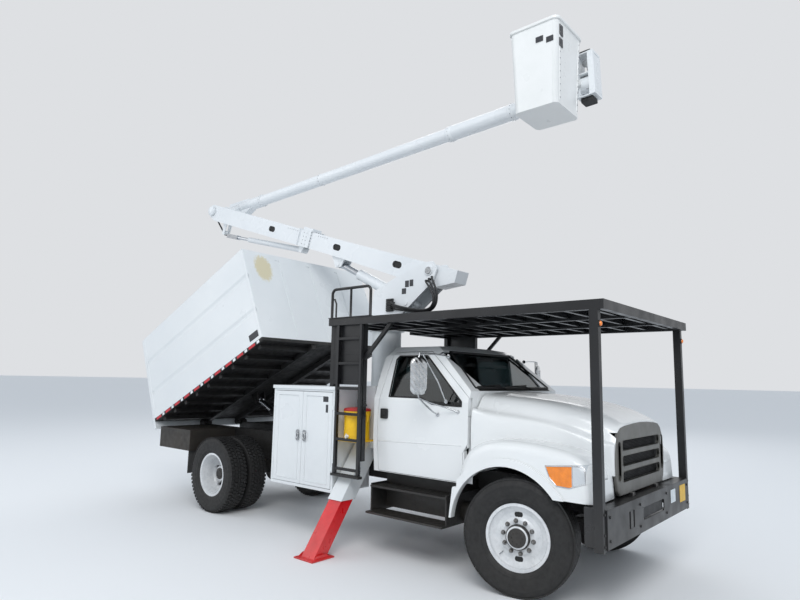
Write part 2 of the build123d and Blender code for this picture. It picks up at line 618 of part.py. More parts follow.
def side_cutter(outline, grow, side):
    """A side opening's outline, grown all round, as a solid through one wall of the cab."""
    inner = DOOR_HINGE_Y - 40 if grow <= 0 else DOOR_HINGE_Y - 55
    with BuildPart() as piece:
        with BuildSketch(Plane.XZ.offset(-side * 1100 if side > 0 else 500)):
            with BuildLine():
                Polyline(*[(FRONT_AXLE + x, z) for x, z in outline], close=True)
            make_face()
            if grow:
                offset(amount=grow, kind=Kind.INTERSECTION)
        extrude(amount=600)
        add(cab_core, mode=Mode.SUBTRACT)
        add(block((FRONT_AXLE - 640, CAB_FRONT + 50), (-inner, inner), (CAB_BOTTOM - 20, 1800)),
            mode=Mode.SUBTRACT)
    return piece.part


def windscreen_cutter(shrink):
    """A solid through the windscreen's opening, square to the screen."""
    low, high = Vector(FRONT_AXLE - 585, 0, 1832), Vector(FRONT_AXLE - 1068, 0, 2256)
    middle = (low + high) * 0.5
    rise = (high - low).length - 40
    with BuildPart() as piece:
        with BuildSketch(Plane(origin=middle, x_dir=(0, 1, 0), z_dir=(high - low).cross(Vector(0, 1, 0)))):
            with BuildLine():
                Polyline((-830, -rise / 2), (830, -rise / 2), (660, rise / 2),
                         (-660, rise / 2), close=True)
            make_face()
            if shrink:
                offset(amount=-shrink, kind=Kind.INTERSECTION)
        extrude(amount=70, both=True)
    return piece.part


def rear_window_cutter(shrink):
    """A solid through the opening in the back of the cab."""
    return block((CAB_REAR - 60, CAB_REAR + 150), (-500 + shrink, 500 - shrink),
                 (1780 + shrink, 2100 - shrink))


cab_outer = cab_block(0)
cab_inner = cab_block(CAB_WALL)
with BuildPart() as cab_wall:
    add(cab_outer)
    with BuildPart(mode=Mode.PRIVATE) as inside:
        add(cab_inner)
        add(block((CAB_REAR - 10, CAB_FRONT + 10), (-1100, 1100), (CAB_BOTTOM - 10, CAB_FLOOR)),
            mode=Mode.SUBTRACT)
    add(inside.part, mode=Mode.SUBTRACT)
    add(block((CAB_REAR - 10, CAB_FRONT + 10), (-930, 930), (CAB_BOTTOM - 10, CAB_FLOOR - 45)),
        mode=Mode.SUBTRACT)

with BuildPart() as cab_shell:
    add(cab_wall.part)
    for side in SIDES.values():
        add(side_cutter(DOOR_OUTLINE, SEAM, side), mode=Mode.SUBTRACT)
        add(block((DOOR_HINGE_X - 30, CAB_FRONT + 10), sorted((side * 933, side * 1100)),
                  (CAB_BOTTOM - 10, 1745)), mode=Mode.SUBTRACT)
        for z in DOOR_EARS:
            add(block((DOOR_HINGE_X - 10, DOOR_HINGE_X + 10),
                      sorted((side * 900, side * DOOR_HINGE_Y)), (z, z + EAR_HEIGHT)))
            add(rod((DOOR_HINGE_X, side * DOOR_HINGE_Y, z),
                    (DOOR_HINGE_X, side * DOOR_HINGE_Y, z + EAR_HEIGHT), 10))
            add(rod((DOOR_HINGE_X, side * DOOR_HINGE_Y, z),
                    (DOOR_HINGE_X, side * DOOR_HINGE_Y, z + EAR_HEIGHT + 50), EAR_PIN))
        for x in (-1700.0, -850.0):
            add(block((FRONT_AXLE + x - 60, FRONT_AXLE + x + 60),
                      sorted((side * (RAIL_OUT - 80), side * RAIL_OUT)), (RAIL_TOP, CAB_FLOOR - 40)))
    add(windscreen_cutter(0), mode=Mode.SUBTRACT)
    add(rear_window_cutter(0), mode=Mode.SUBTRACT)
cab_shell.part.label = "cab_shell"
export_step(cab_shell.part, "parts/cab_shell.step")

with BuildPart() as glass_layer:
    add(cab_block(16))
    add(cab_block(16 + GLASS), mode=Mode.SUBTRACT)

with BuildPart() as cab_glass:
    with BuildPart(mode=Mode.PRIVATE) as openings:
        add(windscreen_cutter(PLAY))
        add(rear_window_cutter(PLAY))
    add(glass_layer.part)
    add(openings.part, mode=Mode.INTERSECT)
cab_glass.part.label = "cab_glass"
export_step(cab_glass.part, "parts/cab_glass.step")

for name, side in SIDES.items():
    with BuildPart() as door:
        add(cab_wall.part)
        add(side_cutter(DOOR_OUTLINE, 0, side), mode=Mode.INTERSECT)
        add(side_cutter(WINDOW_OUTLINE, 0, side), mode=Mode.SUBTRACT)
        for z in DOOR_EARS:
            add(block((DOOR_HINGE_X - 35, DOOR_HINGE_X + 30), sorted((side * 900, side * 997)),
                      (z - 5, z + EAR_HEIGHT + PLAY)), mode=Mode.SUBTRACT)
            add(rod((DOOR_HINGE_X, side * DOOR_HINGE_Y, z),
                    (DOOR_HINGE_X, side * DOOR_HINGE_Y, z + EAR_HEIGHT + 55), EAR_PIN + PLAY),
                mode=Mode.SUBTRACT)
        handle = block((FRONT_AXLE - 1745, FRONT_AXLE - 1665), (-1022, -995), (1490, 1580))
        add(handle if side < 0 else other_side(handle))
    door.part.label = f"door_{name}"
    export_step(door.part, f"parts/door_{name}.step")

    with BuildPart() as pane:
        add(glass_layer.part)
        add(side_cutter(WINDOW_OUTLINE, -PLAY, side), mode=Mode.INTERSECT)
    pane.part.label = f"door_glass_{name}"
    export_step(pane.part, f"parts/door_glass_{name}.step")

    with BuildPart() as mirror_head:
        head = block((FRONT_AXLE - 1093, FRONT_AXLE - 881), (-1330, -1270), (1770, 2150))
        arms = bent_tube([(FRONT_AXLE - 940, -848, 2180), (FRONT_AXLE - 980, -1265, 2185),
                          (FRONT_AXLE - 987, -1265, 1740), (FRONT_AXLE - 960, -1009, 1560)],
                         10, 30)
        add(head if side < 0 else other_side(head))
        add(arms if side < 0 else other_side(arms))
    mirror_head.part.label = f"mirror_{name}"
    export_step(mirror_head.part, f"parts/mirror_{name}.step")

# Inside of the cab: bench, dashboard, steering column and wheel
with BuildPart() as cab_interior:
    add(side_prism(
        [(FRONT_AXLE - 1790, CAB_FLOOR), (FRONT_AXLE - 1200, CAB_FLOOR),
         (FRONT_AXLE - 1180, 1420), (FRONT_AXLE - 1600, 1400), (FRONT_AXLE - 1700, 1960),
         (FRONT_AXLE - 1790, 1960)], (-800, 800)))
    add(side_prism(
        [(FRONT_AXLE - 615, 1300), (FRONT_AXLE - 800, 1300), (FRONT_AXLE - 860, 1560),
         (FRONT_AXLE - 800, 1680), (FRONT_AXLE - 615, 1720)], (-850, 850)))
    add(rod((FRONT_AXLE - 760, 400, 1500), (FRONT_AXLE - 1010, 400, 1640), 30))
    with BuildPart(Plane(origin=(FRONT_AXLE - 1010, 400, 1640), z_dir=(-0.873, 0, 0.489)),
                   mode=Mode.PRIVATE) as wheel_ring:
        Torus(210, 15)
        Box(420, 40, 14)
        Box(40, 420, 14)
    add(wheel_ring.part)
cab_interior.part.label = "cab_interior"
export_step(cab_interior.part, "parts/cab_interior.step")

# Hood and fenders, one shell that tilts forward.
# Bonnet sections: x from the front axle, top, then crease, shoulder, side (y, z)
BONNET = [
    (-552, 1815, (700, 1785), (860, 1650), (985, 1400)),
    (-250, 1797, (660, 1765), (800, 1620), (905, 1380)),
    (150, 1757, (620, 1722), (745, 1570), (820, 1340)),
    (500, 1685, (590, 1648), (700, 1490), (770, 1300)),
    (790, 1560, (560, 1520), (665, 1380), (705, 1200)),
]


def bonnet(inset, low):
    """The middle of the hood as a closed solid, drawn in by inset, down to low."""
    with BuildPart() as piece:
        for x, top, crease, shoulder, side in BONNET:
            turn = (0.55 * crease[0] + 0.45 * shoulder[0], 0.72 * crease[1] + 0.28 * shoulder[1])
            edge = (0.93 * crease[0], 0.9 * crease[1] + 0.1 * top)
            crown = (0.53 * crease[0], 0.28 * crease[1] + 0.72 * top)
            half = [(y - inset, z - inset) for y, z in (side, shoulder, turn, edge, crown)]
            arch = half + [(0, top - inset)] + [(-y, z) for y, z in reversed(half)]
            foot = half[0][0]
            with BuildSketch(Plane.YZ.offset(FRONT_AXLE + x)):
                with BuildLine():
                    Spline(*arch, tangents=((0, 1), (0, -1)))
                    Polyline(arch[-1], (-foot, low), (foot, low), arch[0])
                make_face()
        loft()
    return piece.part


# Top line of a fender, from its nose to its heel: (x from the front axle, z)
FENDER_LINE = [
    (772, 1060), (742, 1180), (640, 1272), (350, 1350), (0, 1378), (-310, 1345), (-545, 1190),
    (-650, 880), (-690, 587),
]
FENDER_FRONT = (782, 905)
FENDER_ROUND = 105.0


def drawn_in(points, inset):
    """The same line of points, each moved square to the line by inset."""
    moved = []
    for k, (x, z) in enumerate(points):
        before, after = points[max(k - 1, 0)], points[min(k + 1, len(points) - 1)]
        run = Vector(after[0] - before[0], after[1] - before[1]).normalized()
        moved.append((x - run.Y * inset, z + run.X * inset))
    return moved


def fender(inset, y, rounding=0.0):
    """The side view of a fender above its wheel arch, as wide as the pair y.

    Its outer edge, the one away from the middle, is rounded by rounding.
    """
    line = [(FRONT_AXLE + x, z) for x, z in drawn_in([FENDER_FRONT] + FENDER_LINE, inset)]
    front, heel = line[0], line[-1]
    with BuildPart() as piece:
        with BuildSketch(Plane.XZ.offset(-y[1])):
            with BuildLine():
                Spline(*line, tangents=((line[1][0] - front[0], line[1][1] - front[1]),
                                        (heel[0] - line[-2][0], heel[1] - line[-2][1])))
                Polyline(heel, (FRONT_AXLE, heel[1]), (FRONT_AXLE, front[1]), front)
            make_face()
        extrude(amount=y[1] - y[0])
        if rounding:
            outer = y[1] if abs(y[1]) > abs(y[0]) else y[0]
            rim = [edge for edge in piece.edges()
                   if abs((edge @ 0).Y - outer) < 1 and abs((edge @ 1).Y - outer) < 1
                   and edge.length > 1000]
            fillet(rim, rounding)
        add(cross_pin(ARCH_X, ARCH_Z, (y[0] - 1, y[1] + 1), ARCH_RADIUS), mode=Mode.SUBTRACT)
    return piece.part


# Headlamps, let into the corners of the fenders and following their skin
LAMP_OUTLINE = [(330, 1188), (800, 1234), (800, 1092), (660, 1052), (560, 1012), (440, 1018), (368, 1090)]
LAMP_DEPTH = 45.0
with BuildPart() as headlamps:
    with BuildPart(mode=Mode.PRIVATE) as lamp:
        add(fender(0, (-FENDER_OUT, -FENDER_IN), FENDER_ROUND))
        add(side_prism([(FRONT_AXLE + x, z) for x, z in LAMP_OUTLINE], (-FENDER_OUT - 50, -800)),
            mode=Mode.INTERSECT)
        add(fender(LAMP_DEPTH, (-FENDER_OUT + LAMP_DEPTH, -500), FENDER_ROUND - LAMP_DEPTH),
            mode=Mode.SUBTRACT)
    add(lamp.part)
    add(other_side(lamp.part))
headlamps.part.label = "headlamps"
export_step(headlamps.part, "parts/headlamps.step")

with BuildPart() as hood:
    add(bonnet(0, 1100))
    for side in SIDES.values():
        add(fender(0, sorted((side * FENDER_IN, side * FENDER_OUT)), FENDER_ROUND))
    add(bonnet(HOOD_WALL, 500), mode=Mode.SUBTRACT)
    for side in SIDES.values():
        add(fender(HOOD_WALL, sorted((side * 500, side * (FENDER_OUT - HOOD_WALL))),
                   FENDER_ROUND - HOOD_WALL), mode=Mode.SUBTRACT)
        add(cross_pin(ARCH_X, ARCH_Z, sorted((side * 500, side * 1300)), ARCH_RADIUS),
            mode=Mode.SUBTRACT)
        add(cross_pin(ARCH_X, ARCH_Z, sorted((side * 500, side * (FENDER_OUT - HOOD_WALL))),
                      ARCH_RADIUS + 80), mode=Mode.SUBTRACT)
        ring = fender(0, sorted((side * (FENDER_OUT - 40), side * FLARE_OUT)))
        with BuildPart(mode=Mode.PRIVATE) as flare:
            add(cross_pin(ARCH_X, ARCH_Z, sorted((side * (FENDER_OUT - 40), side * FLARE_OUT)),
                          ARCH_RADIUS + 75))
            add(ring, mode=Mode.INTERSECT)
        add(flare.part)
    add(block((FRONT_AXLE - 720, HOOD_REAR), (-1065, 1065), (500, 1900)), mode=Mode.SUBTRACT)
    add(block((FRONT_AXLE - 700, FRONT_AXLE - 600), (-1200, 1200), (884, 1200)), mode=Mode.SUBTRACT)
    add(block((HOOD_NOSE - 120, HOOD_NOSE + 20), (-GRILLE_HALF, GRILLE_HALF),
              (800, GRILLE_TOP)), mode=Mode.SUBTRACT)
    add(headlamps.part, mode=Mode.SUBTRACT)
hood.part.label = "hood"
export_step(hood.part, "parts/hood.step")

# Grille: a shell with three wide slots and an upright oval at each side
with BuildPart() as grille:
    add(front_prism(
        [(-GRILLE_HALF + 15, GRILLE_BOTTOM), (GRILLE_HALF - 15, GRILLE_BOTTOM),
         (GRILLE_HALF - PLAY, GRILLE_TOP - PLAY), (-GRILLE_HALF + PLAY, GRILLE_TOP - PLAY)],
        (HOOD_NOSE - 70, HOOD_NOSE)))
    add(front_prism(
        [(-GRILLE_HALF + 45, GRILLE_BOTTOM + 30), (GRILLE_HALF - 45, GRILLE_BOTTOM + 30),
         (GRILLE_HALF - 32, GRILLE_TOP - 32), (-GRILLE_HALF + 32, GRILLE_TOP - 32)],
        (HOOD_NOSE - 71, HOOD_NOSE - 20)), mode=Mode.SUBTRACT)
    with BuildSketch(Plane.YZ.offset(HOOD_NOSE - 30)):
        with Locations((0, 1070), (0, 1210), (0, 1350)):
            RectangleRounded(900, 70, 30)
        with Locations((-545, 1210), (545, 1210)):
            SlotOverall(360, 70, rotation=90)
    extrude(amount=40, mode=Mode.SUBTRACT)
    for side in SIDES.values():
        y = sorted((side * 325, side * 355))
        add(block((HOOD_NOSE - 20, HOOD_HINGE_X + 16), y, (HOOD_HINGE_Z - 16, HOOD_HINGE_Z + 16)))
        add(cross_pin(HOOD_HINGE_X, HOOD_HINGE_Z, sorted((side * 320, side * 360)), HOOD_PIN + PLAY),
            mode=Mode.SUBTRACT)
grille.part.label = "grille"
export_step(grille.part, "parts/grille.step")

# Tool boxes: a hollow cabinet each side with two doors, hinged at their outer edges
BOX_MID = (BOX_REAR + BOX_FRONT) / 2
BOX_DOORS = {"rear": (BOX_REAR + 40, BOX_MID - 3), "front": (BOX_MID + 3, BOX_FRONT - 40)}
BOX_HINGES = {"rear": (BOX_REAR + 40, -1), "front": (BOX_FRONT - 40, 1)}
BOX_KNUCKLES = (850.0, 1550.0)
BOX_AXIS_Y = -BODY_HALF - 2

with BuildPart() as toolboxes:
    cabinet_y = (-BODY_HALF, -BODY_HALF + BOX_DEPTH)
    with BuildPart(mode=Mode.PRIVATE) as cabinet:
        add(block((BOX_REAR, BOX_FRONT), cabinet_y, (BOX_BOTTOM, BOX_TOP - 40)))
        add(block((BOX_REAR - 15, BOX_FRONT + 5), (-BODY_HALF - 15, cabinet_y[1] + 5),
                  (BOX_TOP - 40, BOX_TOP)))
        add(block((BOX_REAR + BOX_WALL, BOX_FRONT - BOX_WALL),
                  (-BODY_HALF + 60, cabinet_y[1] - BOX_WALL),
                  (BOX_BOTTOM + BOX_WALL, BOX_TOP - 60)), mode=Mode.SUBTRACT)
        add(block((BOX_REAR + 40 - SEAM, BOX_FRONT - 40 + SEAM),
                  (-BODY_HALF - 20, -BODY_HALF + 61),
                  (BOX_BOTTOM + 40 - SEAM, BOX_TOP - 60 + SEAM - 10)), mode=Mode.SUBTRACT)
        for edge, way in BOX_HINGES.values():
            for z in BOX_KNUCKLES:
                add(block(sorted((edge, edge + way * 30)), (-BODY_HALF - 6, -BODY_HALF + 4), (z, z + 50)))
                add(rod((edge, BOX_AXIS_Y, z), (edge, BOX_AXIS_Y, z + 50), 5))
                add(rod((edge, BOX_AXIS_Y, z), (edge, BOX_AXIS_Y, z + 100), 2.5))
        for x in (BOX_REAR + 150, BOX_FRONT - 200):
            add(block((x - 30, x + 30), (-BODY_HALF + BOX_DEPTH - 1, -RAIL_OUT), (880, 950)))
    add(cabinet.part)
    add(other_side(cabinet.part))
toolboxes.part.label = "toolboxes"
export_step(toolboxes.part, "parts/toolboxes.step")

for name, side in SIDES.items():
    for end, (low, high) in BOX_DOORS.items():
        with BuildPart() as box_door:
            with BuildPart(mode=Mode.PRIVATE) as leaf:
                add(block((low, high), (-BODY_HALF - 2, -BODY_HALF + BOX_DOOR),
                          (BOX_BOTTOM + 40, BOX_TOP - 70)))
                add(block((low + 70, high - 70), (-BODY_HALF - 3, -BODY_HALF + 3),
                          (BOX_BOTTOM + 90, BOX_TOP - 120)), mode=Mode.SUBTRACT)
                latch_x = high - 60 if end == "rear" else low + 60
                add(block((latch_x - 28, latch_x + 28), (-BODY_HALF - 14, -BODY_HALF + 4),
                          (1160, 1280)))
                edge = BOX_HINGES[end][0]
                for z in BOX_KNUCKLES:
                    add(rod((edge, BOX_AXIS_Y, z - 1), (edge, BOX_AXIS_Y, z + 50 + PLAY), 5.5),
                        mode=Mode.SUBTRACT)
                    add(rod((edge, BOX_AXIS_Y, z + 50 + PLAY), (edge, BOX_AXIS_Y, z + 100), 5))
                    add(rod((edge, BOX_AXIS_Y, z + 40), (edge, BOX_AXIS_Y, z + 101), 2.5 + PLAY),
                        mode=Mode.SUBTRACT)
            add(leaf.part if side < 0 else other_side(leaf.part))
        box_door.part.label = f"toolbox_door_{name}_{end}"
        export_step(box_door.part, f"parts/toolbox_door_{name}_{end}.step")

# Steps and tanks below the cab
with BuildPart() as cab_steps:
    for side in SIDES.values():
        for z, out in ((445.0, 1130.0), (720.0, 1060.0)):
            y = sorted((side * (out - 250), side * out))
            add(block((FRONT_AXLE - 1850, FRONT_AXLE - 800), y, (z, z + 22)))
        for x in (-1850.0, -820.0):
            y = sorted((side * RAIL_OUT, side * 1050))
            add(block((FRONT_AXLE + x, FRONT_AXLE + x + 20), y, (445, 760)))
cab_steps.part.label = "cab_steps"
export_step(cab_steps.part, "parts/cab_steps.step")

with BuildPart() as tanks:
    for side in SIDES.values():
        y = sorted((side * RAIL_OUT, side * 800))
        add(block((FRONT_AXLE - 1830, FRONT_AXLE - 820), y, (480, 860)))
        add(rod((FRONT_AXLE - 800, side * 700, 560), (FRONT_AXLE - 700, side * 700, 560), 100))
tanks.part.label = "tanks"
export_step(tanks.part, "parts/tanks.step")

# Outriggers: a slanted housing each side and the leg that slides in it
LEG_RUN = Vector(0, cos(radians(LEG_ANGLE)), sin(radians(LEG_ANGLE)))
LEG_FOOT = Vector(LEG_X, -LEG_FOOT_Y, 15.0)


def leg_prism(grow, start, end):
    """A box along the right leg's run, from start to end above its foot."""
    with BuildPart() as piece:
        plane = Plane(origin=LEG_FOOT + LEG_RUN * start, x_dir=(1, 0, 0), z_dir=LEG_RUN)
        with BuildSketch(plane):
            Rectangle(LEG_WIDTH + 2 * grow, LEG_DEPTH + 2 * grow)
        extrude(amount=end - start)
    return piece.part


# Pedestal of the lift on its base, with the white cross cabinet that takes the housings
with BuildPart() as pedestal:
    add(block((CROSS_REAR, CROSS_FRONT), (-CROSS_HALF, CROSS_HALF), (SUBFRAME_TOP, CROSS_TOP)))
    pocket = leg_prism(PLAY + HOUSING_WALL, 900, HOUSING_END)
    add(pocket, mode=Mode.SUBTRACT)
    add(other_side(pocket), mode=Mode.SUBTRACT)
    add(block((TURRET_X - 330, CROSS_REAR), (-RAIL_OUT, RAIL_OUT), (SUBFRAME_TOP, 1250)))
    add(rod((TURRET_X, 0, 1240), (TURRET_X, 0, RACE_BOTTOM), PEDESTAL_RADIUS))
    add(rod((TURRET_X, 0, RACE_BOTTOM), (TURRET_X, 0, RACE_TOP), RACE_RADIUS))
pedestal.part.label = "pedestal"
export_step(pedestal.part, "parts/pedestal.step")

with BuildPart() as outrigger_housings:
    with BuildPart(mode=Mode.PRIVATE) as housing:
        add(leg_prism(PLAY + HOUSING_WALL, 520, HOUSING_END))
        add(leg_prism(PLAY, 500, HOUSING_END + 20), mode=Mode.SUBTRACT)
        add(block((LEG_X - 400, LEG_X + 400), (-2500, 0), (0, HOUSING_BOTTOM)), mode=Mode.SUBTRACT)
    add(housing.part)
    add(other_side(housing.part))
outrigger_housings.part.label = "outrigger_housings"
export_step(outrigger_housings.part, "parts/outrigger_housings.step")

for name, side in SIDES.items():
    with BuildPart() as leg:
        with BuildPart(mode=Mode.PRIVATE) as right_leg:
            add(leg_prism(0, -60, 840))
            add(block((LEG_X - 300, LEG_X + 300), (-2400, 0), (-200, 1)), mode=Mode.SUBTRACT)
            add(block((LEG_X - 150, LEG_X + 150), (-LEG_FOOT_Y - 160, -LEG_FOOT_Y + 160), (0, 16)))
            for x in (LEG_X - 125, LEG_X + 113):
                add(front_prism([(-LEG_FOOT_Y - 130, 10), (-LEG_FOOT_Y + 130, 10), (-LEG_FOOT_Y + 60, 52),
                                 (-LEG_FOOT_Y - 60, 52)], (x, x + 12)))
            add(block((LEG_X - 120, LEG_X + 120), (-LEG_FOOT_Y - 50, -LEG_FOOT_Y + 50), (10, 46)))
        add(right_leg.part if side < 0 else other_side(right_leg.part))
    leg.part.label = f"outrigger_leg_{name}"
    export_step(leg.part, f"parts/outrigger_leg_{name}.step")

# Rear side boxes and mud flaps
with BuildPart() as rear_boxes:
    for side in SIDES.values():
        y = sorted((side * RAIL_OUT, side * BODY_HALF))
        add(block((FRONT_AXLE - 6300, FRONT_AXLE - 5420), y, (800, 1105)))
rear_boxes.part.label = "rear_boxes"
export_step(rear_boxes.part, "parts/rear_boxes.step")

with BuildPart() as mud_flaps:
    for side in SIDES.values():
        y = sorted((side * 620, side * (BODY_HALF - 19)))
        add(block((FRONT_AXLE - 5470, FRONT_AXLE - 5460), y, (470, 800)))
mud_flaps.part.label = "mud_flaps"
export_step(mud_flaps.part, "parts/mud_flaps.step")

# Drinking water cooler on a bracket beside the ladder
COOLER_X, COOLER_Y = FRONT_AXLE - 2105.0, LADDER_Y + 179.0
with BuildPart() as water_cooler:
    add(rod((COOLER_X, COOLER_Y, 1215), (COOLER_X, COOLER_Y, 1490), 150))
    add(rod((COOLER_X, COOLER_Y, 1490), (COOLER_X, COOLER_Y, 1545), 158))
    add(block((LADDER_X[0] - 18, FRAME_POSTS[1] - 30), (LADDER_Y + 18, COOLER_Y + 150), (1200, 1216)))
water_cooler.part.label = "water_cooler"
export_step(water_cooler.part, "parts/water_cooler.step")

# Chip body. x and z are from its hinge, along and square to its floor.
HOIST_EYE = (1100.0, -30.0)
GATE_HINGE = (BED_REAR - GATE_GAP, BED_TOP + GATE_RISE)
GROOVES = (0.31, 0.7)           # heights of the grooves, as shares of the walls' height
GROOVE_DEPTH = 16.0
GATE_PITCH, GATE_PRESS = BODY_HALF / 2 - 30, 25.0
with BuildPart() as bed_floor:
    with BuildPart(mode=Mode.PRIVATE) as level_floor:
        add(block((BED_REAR, BED_FRONT), (-BODY_HALF, BODY_HALF),
                  (BED_UNDER, BED_UNDER + BED_FLOOR)))
        for side in SIDES.values():
            add(block((BED_REAR + 35, BED_FRONT - 20), sorted((side * 262, side * 342)),
                      (10, BED_UNDER)))
            add(cross_pin(0, 0, sorted((side * 262, side * 342)), 50))
            add(cross_pin(0, 0, sorted((side * 200, side * 400)), HINGE_PIN + PLAY),
                mode=Mode.SUBTRACT)
            add(side_prism([(HOIST_EYE[0] - 70, BED_UNDER), (HOIST_EYE[0] + 70, BED_UNDER),
                            (HOIST_EYE[0] + 45, HOIST_EYE[1] - 50),
                            (HOIST_EYE[0] - 45, HOIST_EYE[1] - 50)],
                           sorted((side * (HOIST_HALF + 5), side * (HOIST_HALF + 25)))))
            add(cross_pin(*HOIST_EYE, sorted((side * (HOIST_HALF + 20), side * (HOIST_HALF + 37))),
                          HOIST_PIN))
        for k in range(9):
            x = BED_REAR + 200 + k * 330
            for side in SIDES.values():
                add(block((x, x + 60), sorted((side * 342, side * (BODY_HALF - 40))),
                          (BED_UNDER - 60, BED_UNDER)))
    add(on_plane(level_floor.part, BED_PLANE))
bed_floor.part.label = "bed_floor"
export_step(bed_floor.part, "parts/bed_floor.step")

with BuildPart() as bed_body:
    with BuildPart(mode=Mode.PRIVATE) as level_walls:
        low, high = BED_UNDER + BED_FLOOR, BED_TOP
        for side in SIDES.values():
            add(block((BED_REAR, BED_FRONT), sorted((side * (BODY_HALF - BED_WALL), side * BODY_HALF)),
                      (low, high)))
        add(block((BED_FRONT - BED_WALL, BED_FRONT), (-BODY_HALF, BODY_HALF), (low, high)))
        add(block((BED_REAR, BED_FRONT), (-BODY_HALF, BODY_HALF), (BED_TOP, BED_TOP + 25)))
        for side in SIDES.values():
            for share in GROOVES:
                z = low + share * BED_HEIGHT
                add(front_prism(
                    [(side * (BODY_HALF + 1), z - 48), (side * (BODY_HALF - GROOVE_DEPTH), z - 25),
                     (side * (BODY_HALF - GROOVE_DEPTH), z + 8), (side * (BODY_HALF + 1), z + 48)],
                    (BED_REAR + 40, BED_FRONT + 1)), mode=Mode.SUBTRACT)
        for y in (-BODY_HALF / 2, 0.0, BODY_HALF / 2):
            add(block((BED_FRONT - GROOVE_DEPTH / 2, BED_FRONT + 1), (y - 35, y + 35),
                      (low + 60, high - 60)), mode=Mode.SUBTRACT)
        for side in SIDES.values():
            add(cross_pin(*GATE_HINGE, sorted((side * 939, side * 1002)), 15), mode=Mode.SUBTRACT)
            add(cross_pin(*GATE_HINGE, sorted((side * 880, side * 940)), 14))
            add(cross_pin(*GATE_HINGE, sorted((side * 880, side * 1000)), 6))
    add(on_plane(level_walls.part, BED_PLANE))
bed_body.part.label = "bed_body"
export_step(bed_body.part, "parts/bed_body.step")

with BuildPart() as tailgate:
    with BuildPart(mode=Mode.PRIVATE) as gate:
        add(block((-GATE_BACK, BED_REAR - GATE_GAP), (-BODY_HALF, BODY_HALF),
                  (BED_UNDER - GATE_LIP, BED_TOP + GATE_RISE)))
        with Locations((-GATE_BACK, 0, (BED_UNDER + BED_TOP) / 2)):
            with GridLocations(0, GATE_PITCH, 1, 4):
                with Locations((0, 0, -330), (0, 0, 330)):
                    Box(2 * GATE_PRESS, GATE_PITCH - 80, 560, mode=Mode.SUBTRACT)
        for side in SIDES.values():
            add(cross_pin(*GATE_HINGE, sorted((side * 879, side * (940 + PLAY))), 15),
                mode=Mode.SUBTRACT)
            add(cross_pin(*GATE_HINGE, sorted((side * (940 + PLAY), side * 1000)), 14))
            add(cross_pin(*GATE_HINGE, sorted((side * 930, side * 1001)), 6 + PLAY),
                mode=Mode.SUBTRACT)
    add(on_plane(gate.part, BED_PLANE))
tailgate.part.label = "tailgate"
export_step(tailgate.part, "parts/tailgate.step")


# Cylinders: a barrel from its base pin and a rod to its eye, both across the truck's middle

def ram(base, eye, barrel_length, barrel_radius, rod_radius, base_pin, eye_boss, stroke_in, y=0.0):
    """The barrel and the rod of a cylinder, which can still draw in by stroke_in."""
    start, end = Vector(base[0], y, base[1]), Vector(eye[0], y, eye[1])
    run = (end - start).normalized()
    with BuildPart() as barrel_piece:
        add(rod(start, (start + run * barrel_length), barrel_radius))
        add(cross_pin(base[0], base[1], (y - 55, y + 55), base_pin + 25))
        add(cross_pin(base[0], base[1], (y - 80, y + 80), base_pin + PLAY), mode=Mode.SUBTRACT)
        bore_start = start + run * (base_pin + 60)
        add(rod(bore_start, (end + run * 10), rod_radius + PLAY),
            mode=Mode.SUBTRACT)
    with BuildPart() as rod_piece:
        rod_start = start + run * (base_pin + 70 + stroke_in)
        add(rod(rod_start, end, rod_radius))
        add(cross_pin(eye[0], eye[1], (y - 50, y + 50), eye_boss))
    return barrel_piece.part, rod_piece.part


def from_plane(plane, along, up):
    """The side view place (x, z) of a point of a body's own axes."""
    place = plane.location.position + plane.x_dir * along + plane.z_dir * up
    return (place.X, place.Z)


hoist_eye = from_plane(BED_PLANE, *HOIST_EYE)
barrel_solid, rod_solid = ram((HOIST_BASE_X, HOIST_BASE_Z), hoist_eye, 1050, 58, 36,
                              HOIST_PIN, HOIST_PIN + 22, 260)
with BuildPart() as hoist_barrel:
    add(barrel_solid)
hoist_barrel.part.label = "hoist_barrel"
export_step(hoist_barrel.part, "parts/hoist_barrel.step")
with BuildPart() as hoist_rod:
    add(rod_solid)
hoist_rod.part.label = "hoist_rod"
export_step(hoist_rod.part, "parts/hoist_rod.step")

# Turret: a turntable with two leaning side plates
SHOULDER_X = FRONT_AXLE - SHOULDER_BACK
LIFT_BASE = (FRONT_AXLE - 2130.0, 2925.0)
LIFT_EYE = (FRONT_AXLE - 3530.0, 3625.0)
LIFT_PIN = 35.0
TURRET_IN, TURRET_OUT = 135.0, 165.0
with BuildPart() as turret:
    add(rod((TURRET_X, 0, RACE_TOP + PLAY), (TURRET_X, 0, 2740), 270))
    for side in SIDES.values():
        y = sorted((side * TURRET_IN, side * TURRET_OUT))
        add(side_prism(
            [(FRONT_AXLE - 2800, 2700), (FRONT_AXLE - 2700, 3130), (FRONT_AXLE - 2300, 3290),
             (SHOULDER_X - 90, 3440), (SHOULDER_X + 60, 3440), (SHOULDER_X + 130, 3330),
             (SHOULDER_X + 60, 3170), (FRONT_AXLE - 2200, 2780), (FRONT_AXLE - 2320, 2700)], y))
    add(cross_pin(SHOULDER_X, SHOULDER_Z, (-TURRET_OUT - 15, TURRET_OUT + 15), SHOULDER_PIN))
    add(cross_pin(LIFT_BASE[0], LIFT_BASE[1], (-TURRET_OUT - 10, TURRET_OUT + 10), LIFT_PIN))
    add(block((TURRET_X - 180, TURRET_X + 60), (-TURRET_IN - 1, TURRET_IN + 1), (2735, 2860)))
turret.part.label = "turret"
export_step(turret.part, "parts/turret.step")

